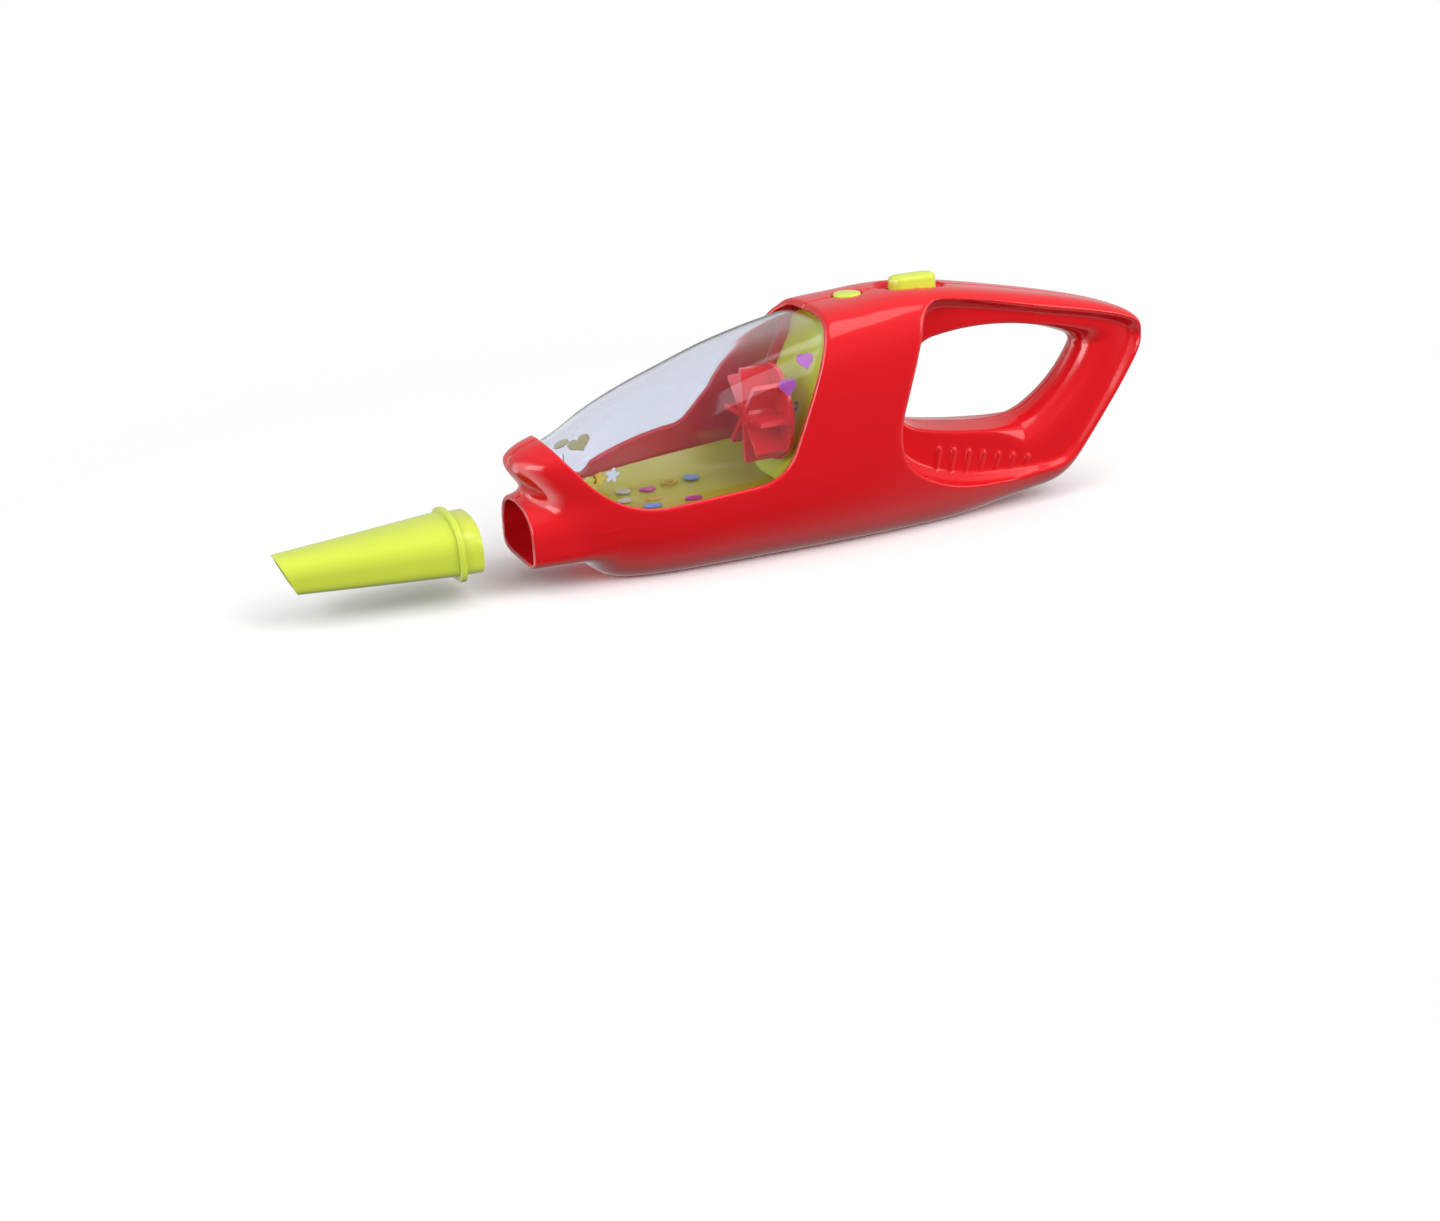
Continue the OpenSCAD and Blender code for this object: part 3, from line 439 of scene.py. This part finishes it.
def tombField(y, z, half, low, high):
    middle = low + spout["middleShare"] * (high - low)
    p = np.where(z >= middle, *spout["powers"])
    h = np.where(z >= middle, high - middle, middle - low)
    r = (np.abs(y / half) ** p + np.abs((z - middle) / h) ** p) ** (1 / p)
    return (r - 1) * np.minimum(half, h)


def spoutFields(x, y, z, step):
    # Straight spout without ends, and the flare that carries it into the nose
    s = spout
    tomb = trueField(tombField(y[0], z[0], s["half"], s["low"], s["high"]), step)[None, :, :]
    length, out, up = s["flare"]
    u = np.clip((x - s["mouth"]) / length, 0, 1)
    flare = tombField(y, z, s["half"] + out * np.sin(math.pi / 2 * u), s["low"], s["high"] + up * u)
    ends = np.maximum(s["mouth"] - x, x - s["mouth"] - length)
    return tomb, smax(trueField(flare, step), ends, s["flareSoft"])


# Push buttons, which the shells leave room for
keys = {
    "power": {"x": 61.5, "size": (16.0, 8.0), "round": 1.5, "swell": 0.35, "travel": 1.8},
    "sound": {"x": 38.6, "size": (9.0, 9.0), "round": 0.7, "swell": 0.25, "travel": 1.0},
}
keyLip = {"wide": 1.0, "thick": 1.2}
dish = {"size": (24.0, 14.0), "depth": 1.4, "ahead": 1.0, "fall": 0.073, "floorSoft": 1.0, "edgeSoft": 0.5}
keyOpening = {"gap": 0.25, "from": 68.0, "soundSoft": 0.5}


def stadiumField(x, y, length, width):
    return np.hypot(np.maximum(np.abs(x) - (length - width) / 2, 0), y) - width / 2


def cutButtons(d, x, y, z):
    power, sound = keys["power"], keys["sound"]
    along = x - power["x"] + dish["ahead"]
    floorZ = smooth(form["crown"], power["x"]) - dish["depth"] - dish["fall"] * along
    hollow = smax(stadiumField(along, y, *dish["size"]), floorZ - z, dish["floorSoft"])
    d = smax(d, -hollow, dish["edgeSoft"])
    gap, below = keyOpening["gap"], keyOpening["from"] - z
    length, width = (v + 2 * gap for v in power["size"])
    d = np.maximum(d, -np.maximum(stadiumField(x - power["x"], y, length, width), below))
    bore = np.hypot(x - sound["x"], y) - sound["size"][0] / 2 - gap
    return smax(d, -np.maximum(bore, below), keyOpening["soundSoft"])


ribs = {
    "count": 7, "first": 63.7, "pitch": 5.4, "lean": 1.3,
    "top": (23.6, 0.23), "foot": (15.6, 0.05),  # height, mm down for each mm back
    "radius": 1.0, "taper": 0.45, "sunk": 0.1, "soft": 0.5,
}


def addRibs(d, x, out, z):
    (topZ, topFall), (footZ, footFall) = ribs["top"], ribs["foot"]
    rise = out - recessFloor(x) + ribs["sunk"]
    for i in range(ribs["count"]):
        back = ribs["pitch"] * i
        top = (ribs["first"] + back, topZ - topFall * back)
        foot = (top[0] - ribs["lean"], footZ - footFall * back)
        radius = ribs["radius"] - ribs["taper"] * alongLine(x, z, top, foot)
        d = smin(d, np.sqrt(lineSquare(x, z, top, foot) + rise ** 2) - radius, ribs["soft"])
    return d


doorCut = {"plateEnd": 34.0, "plateHalf": 14.2, "tabStart": 33.0, "tabHalf": 4.6, "deep": 3.6, "gap": 0.2}


def doorField(x, out, z):
    low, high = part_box("battery_door")
    start, end = low.x / mm - shiftX - doorCut["gap"], high.x / mm - shiftX + doorCut["gap"]
    plate = np.maximum(np.maximum(start - x, x - doorCut["plateEnd"]), out - doorCut["plateHalf"])
    tab = np.maximum(np.maximum(doorCut["tabStart"] - x, x - end), out - doorCut["tabHalf"])
    return np.maximum(np.minimum(plate, tab), z - doorCut["deep"])


screws = {
    "places": [(-47, 8.5), (51, 7), (34, 60), (104, 17), (131.5, 50.5), (86, 66.8)],
    "boss": 4.7, "head": 6.2, "seat": 4.0, "soft": 0.6,  # boss radius, head diameter, seat from the seam
}
shell = {
    "step": 0.55, "x": (-83.0, 144.6), "y": (-1.4, 28.7), "z": (-2.1, 80.0),  # grid of the field
    "wall": 2.2, "bellySoft": 1.2, "seam": 0.03, "seamSoft": 0.5,
}


def bodyField(xs, y, z, step):
    x = xs[:, None, None]
    crown, keel, beam, middle, crownPower, keelPower = (v[:, None, None] for v in section(xs))
    p = np.where(z >= middle, crownPower, keelPower)
    h = np.where(z >= middle, crown - middle, middle - keel)
    r = (np.abs(y / beam) ** p + np.abs((z - middle) / h) ** p) ** (1 / p)
    solid = trueField((r - 1) * np.minimum(beam, h), step)
    front, back = form["ends"]
    return smax(solid, np.maximum(front - x, x - back), form["endSoft"])


def shellField(s, far):
    xs, ys, zs = (np.arange(*s[k], s["step"]) for k in "xyz")
    x, y, z = xs[:, None, None], ys[None, :, None], zs[None, None, :]
    out = np.abs(y)  # from the seam
    wall = s["wall"]
    solid = bodyField(xs, y, z, s["step"])
    window = windowField(x[:, 0], z[0], far)[:, None, :]
    grip = gripField(x, out, z)
    tomb, flare = spoutFields(x, y, z, s["step"])
    socketEnd = spout["mouth"] + spout["socket"]
    block = np.maximum(tomb, np.maximum(spout["mouth"] - x, x - socketEnd - spout["wall"]))
    cavity = np.maximum(solid + wall, wall - z)
    cavity = np.maximum(np.maximum(cavity, -block), wall - grip)
    if far:
        for sx, sz in screws["places"]:
            cavity = np.maximum(cavity, screws["boss"] - np.hypot(x - sx, z - sz))
    d = np.maximum(smin(solid, flare, spout["blend"]), -cavity)
    d = smax(d, -z, s["bellySoft"])
    d = smax(d, -window, windowCut["edgeSoft"])
    nearFront = np.clip(1 - lineSide(x, z, *recessCut["front"]) / recessCut["edgeFade"], 0, 1)
    edge, frontEdge = recessCut["edgeSoft"]
    d = smax(d, -grip, edge + frontEdge * nearFront)
    d = smax(d, -np.maximum(tomb + spout["wall"], x - socketEnd), spout["mouthSoft"])
    d = cutButtons(d, x, y, z)
    d = addRibs(d, x, out, z)
    d = np.maximum(d, -doorField(x, out, z))
    if far:
        for sx, sz in screws["places"]:
            well = np.maximum(np.hypot(x - sx, z - sz) - screws["head"] / 2, screws["seat"] - y)
            d = smax(d, -well, screws["soft"])
    return smax(d, s["seam"] - y, s["seamSoft"])


def sampleGrid(field, s, points):
    lows = np.array([s[k][0] for k in "xyz"])
    q = (points - lows) / s["step"]
    i = np.clip(np.floor(q).astype(int), 0, np.array(field.shape) - 2)
    f = np.clip(q - i, 0, 1)
    total = 0
    for dx in (0, 1):
        for dy in (0, 1):
            for dz in (0, 1):
                w = ((f[:, 0] if dx else 1 - f[:, 0]) * (f[:, 1] if dy else 1 - f[:, 1])
                     * (f[:, 2] if dz else 1 - f[:, 2]))
                total = total + w * field[i[:, 0] + dx, i[:, 1] + dy, i[:, 2] + dz]
    return total


def newMesh(name, points, faces):
    mesh = bpy.data.meshes.new(name)
    mesh.from_pydata(((points + (shiftX, 0, 0)) * mm).tolist(), [], faces)
    return mesh


def fieldMesh(name, field, s, mirrored):
    grid = vdb.FloatGrid(1.0)
    grid.copyFromArray(field.astype(np.float32))
    points, quads = grid.convertToQuads(isovalue=0.0)
    points = points * s["step"] + np.array([s[k][0] for k in "xyz"])
    slopes = [np.asarray(g) for g in np.gradient(field, s["step"])]
    for _ in range(2):  # pull the corners onto the true surface
        g = np.stack([sampleGrid(a, s, points) for a in slopes], -1)
        points = points - g * (sampleGrid(field, s, points) / np.maximum((g * g).sum(-1), 0.2))[:, None]
    g = np.stack([sampleGrid(a, s, points) for a in slopes], -1)
    normals = g / np.maximum(np.linalg.norm(g, axis=1), 1e-6)[:, None]
    a, b, c = points[quads[:, 0]], points[quads[:, 1]], points[quads[:, 2]]
    facing = (np.cross(b - a, c - a) * normals[quads[:, 0]]).sum(-1)
    if np.median(facing) < 0:
        quads = quads[:, ::-1]
    if mirrored:
        points = points * (1, -1, 1)
        normals = normals * (1, -1, 1)
        quads = quads[:, ::-1]
    mesh = newMesh(name, points, quads.tolist())
    mesh.polygons.foreach_set("use_smooth", np.ones(len(mesh.polygons), bool))
    mesh.normals_split_custom_set_from_vertices(normals.tolist())
    return mesh


def addPiece(name, mesh, mat, body, *replaced):
    piece = bpy.data.objects.new(name, mesh)
    bpy.context.scene.collection.objects.link(piece)
    mesh.materials.append(mat)
    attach(piece, body)
    if replaced:
        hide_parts(*replaced)
    return piece


for side, far in (("left", False), ("right", True)):
    name = side + "Shell"
    mesh = fieldMesh(name, shellField(shell, far), shell, not far)
    piece = addPiece(name, mesh, redAbs, "body", side + "_shell")
    print(side, "shell:", len(piece.data.polygons), "faces")


# Lofted and plated pieces
def gridMesh(name, upper, lower):
    # Closed plate between two grids of points, upper grid first
    rows, cols = upper.shape[:2]
    off = rows * cols
    faces = []
    for i in range(rows - 1):
        for k in range(cols - 1):
            a = i * cols + k
            faces.append((a, a + 1, a + cols + 1, a + cols))
            faces.append((off + a, off + a + cols, off + a + cols + 1, off + a + 1))
    index = np.arange(off).reshape(rows, cols)
    edge = np.concatenate([index[0, :-1], index[:-1, -1], index[-1, :0:-1], index[:0:-1, 0]]).tolist()
    for a, b in zip(edge, edge[1:] + edge[:1]):
        faces.append((b, a, off + a, off + b))
    return newMesh(name, np.concatenate([upper.reshape(-1, 3), lower.reshape(-1, 3)]), faces)


def ringMesh(name, rings, closed=True):
    # Skin over rings of points: closed joins the last ring to the first, otherwise both ends get a lid
    n, last = len(rings[0]), (len(rings) - 1) * len(rings[0])
    faces = [] if closed else [list(range(n)), list(range(last + n - 1, last - 1, -1))]
    for i in range(len(rings) if closed else len(rings) - 1):
        j = (i + 1) % len(rings)
        for k in range(n):
            faces.append((i * n + k, j * n + k, j * n + (k + 1) % n, i * n + (k + 1) % n))
    return newMesh(name, np.concatenate(rings), faces)


def finishMesh(mesh, sharp=40):
    # Smooth faces, with edges sharper than so many degrees kept crisp
    bm = bmesh.new()
    bm.from_mesh(mesh)
    bmesh.ops.recalc_face_normals(bm, faces=bm.faces)
    limit = math.radians(sharp)
    for f in bm.faces:
        f.smooth = True
    for e in bm.edges:
        e.smooth = not (len(e.link_faces) == 2 and e.calc_face_angle(0) > limit)
    bm.to_mesh(mesh)
    bm.free()
    return mesh


def ringAngles(count):
    return np.linspace(0, 2 * math.pi, count, endpoint=False)


dome = {
    "inset": 2.7, "thick": 1.5, "lap": 2.6,  # mm under the form, mm behind the window edge
    "rows": 70, "columns": 90, "ends": (-60.0, 15.0), "rounds": 7,  # first guess at the ends
}


def angleAt(x, inset, z):
    # Angle round the form at a height below its middle
    _, keel, _, middle, _, keelPower = section(x, inset)
    share = np.clip((middle - z) / (middle - keel), 0, 0.95)
    return -np.arcsin(share ** (keelPower / 2))


def domeAngle(x, v):
    low = angleAt(x, dome["inset"], sillZ(x) - dome["lap"])
    return (math.pi - low) * (1 - v) + low * v


def domeGrid(inset):
    v = np.linspace(0, 1, dome["columns"] + 1)
    front, back = (np.full(v.shape, end) for end in dome["ends"])
    for _ in range(dome["rounds"]):
        front = noseX(onBody(front, domeAngle(front, v), dome["inset"])[1]) - dome["lap"]
        back = collarX(onBody(back, domeAngle(back, v), dome["inset"])[1]) + dome["lap"]
    u = np.linspace(0, 1, dome["rows"] + 1)[:, None]
    x = front * (1 - u) + back * u
    y, z = onBody(x, domeAngle(x, v), inset)
    return np.stack([x, y, z], -1)


mesh = gridMesh("clearDome", domeGrid(dome["inset"]), domeGrid(dome["inset"] + dome["thick"]))
piece = addPiece("clearDome", finishMesh(mesh), domeStyrene, "body", "canopy")

tray = {
    "inset": 4.4, "floor": 20.5, "thick": 1.4, "front": -53.0, "rows": 60, "columns": 60,
    "noseLift": 3.5, "liftFrom": -40, "liftOver": 13,  # the floor rises towards the nose
    "rimDrop": 0.8, "rimLeast": 0.5, "farLift": 3.6, "curl": 6,  # rim under the sill, higher on the right
}


def trayGrid(drop):
    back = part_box("dust_tray")[1].x / mm - shiftX
    x = np.linspace(tray["front"], back, tray["rows"])[:, None]
    q = np.linspace(-1, 1, tray["columns"])[None, :]
    base = tray["floor"] + tray["noseLift"] * (np.maximum(tray["liftFrom"] - x, 0) / tray["liftOver"]) ** 2
    rim = sillZ(x) - tray["rimDrop"] + np.where(q > 0, tray["farLift"], 0)
    rim = np.maximum(rim, base + tray["rimLeast"])
    z = base + (rim - base) * np.abs(q) ** tray["curl"]
    y = q * onBody(x, angleAt(x, tray["inset"], base - tray["thick"]), tray["inset"])[0]
    return np.stack([x + 0 * q, y, z - drop], -1)


mesh = gridMesh("dustTray", trayGrid(0), trayGrid(tray["thick"]))
piece = addPiece("dustTray", finishMesh(mesh), limeTrayPaintedShade, "body", "dust_tray")
print("dome and tray made")

tube = {
    "tip": -152.5, "tipHeight": 11.4, "tipHalf": 8.2, "tipRise": 1.4, "tipShear": -0.45,
    "endWide": 0.4, "endHigh": 0.5,  # what the tube's rear end has over the spigot
    "ringAt": -97.5, "ringThick": 2.0, "ringEdge": ((0, 0.35), (0.1, 0.1), (0.35, 0)),  # mm along, mm in
    "spigotEnd": -91.5, "spigotEdge": (0.4, 0.3), "wall": 1.5, "gap": 0.2, "rows": 16, "points": 96, "sharp": 50,
}


def tombRing(x, half, low, high, shear=0.0):
    a = ringAngles(tube["points"])
    s, c = np.sin(a), np.cos(a)
    middle = low + spout["middleShare"] * (high - low)
    p = np.where(s >= 0, *spout["powers"])
    z = middle + np.where(s >= 0, high - middle, middle - low) * bend(s, p)
    return np.stack([x + shear * (z - (low + high) / 2), half * bend(c, p), z], -1)


def nozzleRings(d):
    # Rings from the tip to the spigot, d mm in from the outside
    inset = spout["wall"] + tube["gap"]
    half, low, high = spout["half"] - inset, spout["low"] + inset, spout["high"] - inset
    tubeEnd = tube["ringAt"] - tube["ringThick"]
    start = tube["tip"] - tube["tipShear"] * tube["tipHeight"] / 2
    tipTop = low + tube["tipRise"] + tube["tipHeight"]
    rings = []
    for u in np.linspace(0, 1, tube["rows"]):
        wide = tube["tipHalf"] + (half + tube["endWide"] - tube["tipHalf"]) * u
        top = tipTop + (high + tube["endHigh"] - tipTop) * u
        rings.append(tombRing(start + (tubeEnd - start) * u, wide - d, low + tube["tipRise"] * (1 - u) + d,
                              top - d, tube["tipShear"] * (1 - u) ** 3))
    if d == 0:
        stop = [(tubeEnd + along, inward) for along, inward in tube["ringEdge"]]
        stop += [(tube["ringAt"] - along, inward) for along, inward in tube["ringEdge"][::-1]]
        for x, inward in stop:
            rings.append(tombRing(x, spout["half"] - inward, spout["low"] + inward, spout["high"] - inward))
    along, inward = tube["spigotEdge"]
    end = tube["spigotEnd"]
    for x, i in ((tube["ringAt"], 0), (end - along, 0), (end, inward if d == 0 else 0)):
        rings.append(tombRing(x, half - d - i, low + d + i, high - d - i))
    return rings


mesh = ringMesh("nozzleTube", nozzleRings(0) + nozzleRings(tube["wall"])[::-1])
piece = addPiece("nozzleTube", finishMesh(mesh, tube["sharp"]), limeAbs, "nozzle", "nozzle")
print("nozzle made")


# Push buttons: flat lip under the crown, upright sides, a rounded edge and a slightly domed top
def stadiumRing(x, length, width, z, count=64):
    a = ringAngles(count)
    steep = 40  # how fast the ring passes along its straight sides
    reach = (length - width) / 2 * np.clip(np.cos(a) * steep, -1, 1)
    return np.stack([x + reach + width / 2 * np.cos(a), width / 2 * np.sin(a), np.full(count, z)], -1)


def keyMesh(name, s, node):
    low, top = (corner.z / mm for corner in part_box(node))
    length, width = s["size"]
    r, swell = s["round"], s["swell"]
    lipTop = low + keyLip["thick"]
    steps = [(keyLip["wide"], low), (keyLip["wide"], lipTop), (0.0, lipTop)]
    for t in np.linspace(0, math.pi / 2, 7):
        steps.append((-r * (1 - math.cos(t)), top - swell - r * (1 - math.sin(t))))
    for t in np.linspace(0.25, 0.95, 4):
        steps.append((-r - t * (width / 2 - r), top - swell * (1 - t) ** 2))
    return ringMesh(name, [stadiumRing(s["x"], length + 2 * d, width + 2 * d, z) for d, z in steps], False)


for key, s in keys.items():
    name, node = key + "Key", key + "_button"
    piece = addPiece(name, finishMesh(keyMesh(name, s, node)), limeAbs, key + "_key", node)
print("buttons made")

# Rubber domes under the buttons: a foot on the board, a thin bell and a flat top that the button presses on
bell = {
    "outside": ((4.2, 0.0), (4.2, 0.08), (3.7, 0.2), (2.9, 0.8), (2.6, 0.94), (2.3, 1.0)),  # mm, share of height
    "lid": 0.3, "skin": 0.6, "innerLeast": 0.25, "innerShare": 0.8, "points": 48, "spare": 0.1,
}


def bellMesh(name, node):
    low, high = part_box(node)
    middle, foot, tall = (low.x + high.x) / 2 / mm - shiftX, low.z / mm, (high.z - low.z) / mm
    a = ringAngles(bell["points"])
    outer = [(r, foot + tall * h) for r, h in bell["outside"]] + [(bell["lid"], high.z / mm)]
    inner = [(max(r - bell["skin"], bell["innerLeast"]), foot + tall * h * bell["innerShare"])
             for r, h in bell["outside"]]
    return ringMesh(name, [np.stack([middle + r * np.cos(a), r * np.sin(a), np.full(len(a), z)], -1)
                           for r, z in outer + inner[::-1]])


for key, s in keys.items():
    name, node = key + "Bell", key + "_dome"
    piece = addPiece(name, finishMesh(bellMesh(name, node)), greyRubber, "body", node)
    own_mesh(piece)
print("rubber domes made")


# Carried-over solids get their own finishes
finishes = {
    "fan_wall": limeAbs, "whirl_fan": redAbs, "battery_door": redAbs,
    "motor_shaft": steel, "motor_can": steel, "battery_plates": steel, "battery_springs": steel,
    "door_screw": steel, "shell_screws": steel,
    "motor_end_cap": blackNylon, "motor_cradle": blackNylon, "battery_box": blackNylon,
    "battery_cells": mattMoulded("cellSleeve", "#3F7F4A", 0.35),
    "circuit_board": mattMoulded("boardLacquer", "#2F6B3C", 0.4),
    "red_lead": mattMoulded("redLeadPvc", "#B3262A", 0.4), "black_lead": blackPvc, "motor_leads": blackPvc,
    "purple_hearts": confettiFoil("purpleFoil", "#8E2A88", 0.3),
    "magenta_flakes": confettiFoil("magentaFoil", "#C2359A", 0.4),
    "blue_flakes": confettiFoil("blueFoil", "#6E9BE6", 0.6),
    "silver_flakes": silverFoil, "gold_flakes": goldFoil,
}
for key, mat in finishes.items():
    nodes[key].data.materials.clear()
    nodes[key].data.materials.append(mat)
print("finishes set:", len(finishes))


# Foil flakes that cling inside the dome by static, besides those of the solids
cling = {"depth": 4.9, "thick": 0.3, "points": 40}  # mm under the body form, mm
flakes = {
    "goldHeart": {"shape": "heart", "x": -56.4, "angle": 117, "size": (7.5, 6.5), "foil": shadedGoldFoil},
    "goldOval": {"shape": "oval", "x": -60.5, "angle": 98, "size": (5.0, 4.2), "foil": shadedGoldFoil},
    "goldStar": {"shape": "star", "x": -53.7, "angle": 171, "size": (4.2, 4.2), "foil": goldFoil},
    "silverStar": {"shape": "star", "x": -49.6, "angle": 171, "size": (4.6, 4.6), "foil": silverFoil},
}


def flakeOutline(shape):
    a = ringAngles(cling["points"])
    if shape == "heart":  # the usual heart curve
        tall = 13 * np.cos(a) - 5 * np.cos(2 * a) - 2 * np.cos(3 * a) - np.cos(4 * a)
        return np.sin(a) ** 3, tall / 15
    reach = 0.75 + 0.25 * np.cos(5 * a) if shape == "star" else 1.0
    return reach * np.cos(a), reach * np.sin(a)


def onDome(x, angle):
    return Vector((x, *onBody(x, angle, cling["depth"])))


def flakeMesh(name, s):
    x, angle = s["x"], math.radians(s["angle"])
    along = (onDome(x + 1, angle) - onDome(x - 1, angle)).normalized()
    up = (onDome(x, angle - 0.1) - onDome(x, angle + 0.1)).normalized()
    inward = np.array(along.cross(up).normalized() * cling["thick"] / 2)
    u, v = flakeOutline(s["shape"])
    length, width = s["size"]
    flat = (np.array(onDome(x, angle)) + u[:, None] * np.array(along) * length / 2
            + v[:, None] * np.array(up) * width / 2)
    return ringMesh(name, [flat + inward, flat - inward], False)


for key, s in flakes.items():
    piece = addPiece(key, finishMesh(flakeMesh(key, s)), s["foil"], "body")
print("clinging flakes made")


# Floor and light
stageSet = {
    "floor": "#FFFFFF", "floorSize": 0.9, "floorDrop": 0.0005, "fade": (0.15, 0.34),  # metres
    "around": (0.1, 0.62), "aroundOver": (-0.3, 0.1),  # share left below, strength above, where it changes
    "tent": (0.7, 0.5), "tentOver": (-0.6, 0.6),  # what the gloss mirrors, below and above
    "noseGlow": 3.0, "noseOver": (-0.5, -0.75),  # brighter towards the nose
    "cameraSide": 0.06, "cameraOver": (-0.75, -0.35),  # dark on the near side
    "aim": (0.03, 0, 0.04),  # metres, middle of the toy
}
lamps = {
    "top": {"place": (0.33, -0.27, 0.9), "size": (0.5, 0.5), "watts": 1.5, "mirrored": True},
    "left": {"place": (-0.72, -0.42, 0.44), "size": (0.45, 0.45), "watts": 2.8, "mirrored": True},
    "right": {"place": (0.95, -0.5, 0.4), "size": (0.5, 0.5), "watts": 2.0, "mirrored": True},
    "front": {"place": (0.5, -0.9, 0.65), "size": (1.0, 0.8), "watts": 8.0, "mirrored": False},
}


def addFloor(s):
    # White paper that fades out into the white surroundings and keeps the shadow
    size, (fadeFrom, fadeTo) = s["floorSize"], s["fade"]
    mesh = bpy.data.meshes.new("paleFloor")
    corners = [(-size, -size, 0), (size, -size, 0), (size, size, 0), (-size, size, 0)]
    mesh.from_pydata(corners, [], [(0, 1, 2, 3)])
    floor = bpy.data.objects.new("paleFloor", mesh)
    floor.location.z = -s["floorDrop"]
    floor.visible_diffuse = False
    floor.visible_glossy = False
    bpy.context.scene.collection.objects.link(floor)
    mat, tree, shader, place = newMaterial("paleFloorPaper")
    shader.inputs["Base Color"].default_value = linear(s["floor"])
    shader.inputs["Roughness"].default_value = 0.9
    reach = addNode(tree, "ShaderNodeVectorMath", {"operation": "LENGTH"}, links={0: place})
    fade = addNode(tree, "ShaderNodeMapRange", {"interpolation_type": "SMOOTHSTEP"},
                   {"From Min": fadeFrom, "From Max": fadeTo}, {"Value": reach.outputs["Value"]})
    clear = addNode(tree, "ShaderNodeBsdfTransparent")
    mixed = addNode(tree, "ShaderNodeMixShader",
                    links={0: fade.outputs["Result"], 1: shader.outputs[0], 2: clear.outputs[0]})
    tree.links.new(mixed.outputs[0], tree.nodes["Material Output"].inputs["Surface"])
    mesh.materials.append(mat)


def addWorld(s):
    # White to the camera and through the dome, a light tent to the gloss, soft even light to the rest
    world = bpy.data.worlds.new("studioWorld")
    bpy.context.scene.world = world
    world.use_nodes = True
    tree = world.node_tree
    back = tree.nodes["Background"]
    place = addNode(tree, "ShaderNodeTexCoord").outputs["Generated"]
    split = addNode(tree, "ShaderNodeSeparateXYZ", links={"Vector": place})
    (share, above), (start, end) = s["around"], s["aroundOver"]
    soft = addNode(tree, "ShaderNodeMapRange", None,
                   {"From Min": start, "From Max": end, "To Min": above * share, "To Max": above},
                   {"Value": split.outputs["Z"]})
    (below, above), (start, end) = s["tent"], s["tentOver"]
    tent = addNode(tree, "ShaderNodeMapRange", None,
                   {"From Min": start, "From Max": end, "To Min": below, "To Max": above},
                   {"Value": split.outputs["Z"]})
    start, end = s["noseOver"]
    glow = addNode(tree, "ShaderNodeMapRange", None,
                   {"From Min": start, "From Max": end, "To Max": s["noseGlow"]}, {"Value": split.outputs["X"]})
    both = addNode(tree, "ShaderNodeMath", {"operation": "ADD"}, links={0: tent.outputs[0], 1: glow.outputs[0]})
    start, end = s["cameraOver"]
    side = addNode(tree, "ShaderNodeMapRange", None,
                   {"From Min": start, "From Max": end, "To Min": s["cameraSide"]},
                   {"Value": split.outputs["Y"], "To Max": both.outputs[0]})
    rays = addNode(tree, "ShaderNodeLightPath")
    gloss = addNode(tree, "ShaderNodeMix", {"data_type": "FLOAT"},
                    links={0: rays.outputs["Is Glossy Ray"], 2: soft.outputs[0], 3: side.outputs[0]})
    seen = addNode(tree, "ShaderNodeMath", {"operation": "MAXIMUM"},
                   links={0: rays.outputs["Is Camera Ray"], 1: rays.outputs["Is Transmission Ray"]})
    strength = addNode(tree, "ShaderNodeMix", {"data_type": "FLOAT"}, {3: 1.0},
                       {0: seen.outputs[0], 2: gloss.outputs[0]})
    back.inputs["Color"].default_value = (1, 1, 1, 1)
    tree.links.new(strength.outputs[0], back.inputs["Strength"])


def addLamp(name, s):
    data = bpy.data.lights.new(name, "AREA")
    data.shape = "RECTANGLE"
    data.size, data.size_y = s["size"]
    data.energy = s["watts"]
    lamp = bpy.data.objects.new(name, data)
    bpy.context.scene.collection.objects.link(lamp)
    lamp.location = s["place"]
    lamp.visible_glossy = s["mirrored"]  # the front fill is not seen in the gloss
    toMiddle = Vector(stageSet["aim"]) - lamp.location
    lamp.rotation_euler = toMiddle.to_track_quat("-Z", "Y").to_euler()


addFloor(stageSet)
addWorld(stageSet)
for key, s in lamps.items():
    addLamp(key + "Softbox", s)
print("stage and light set")
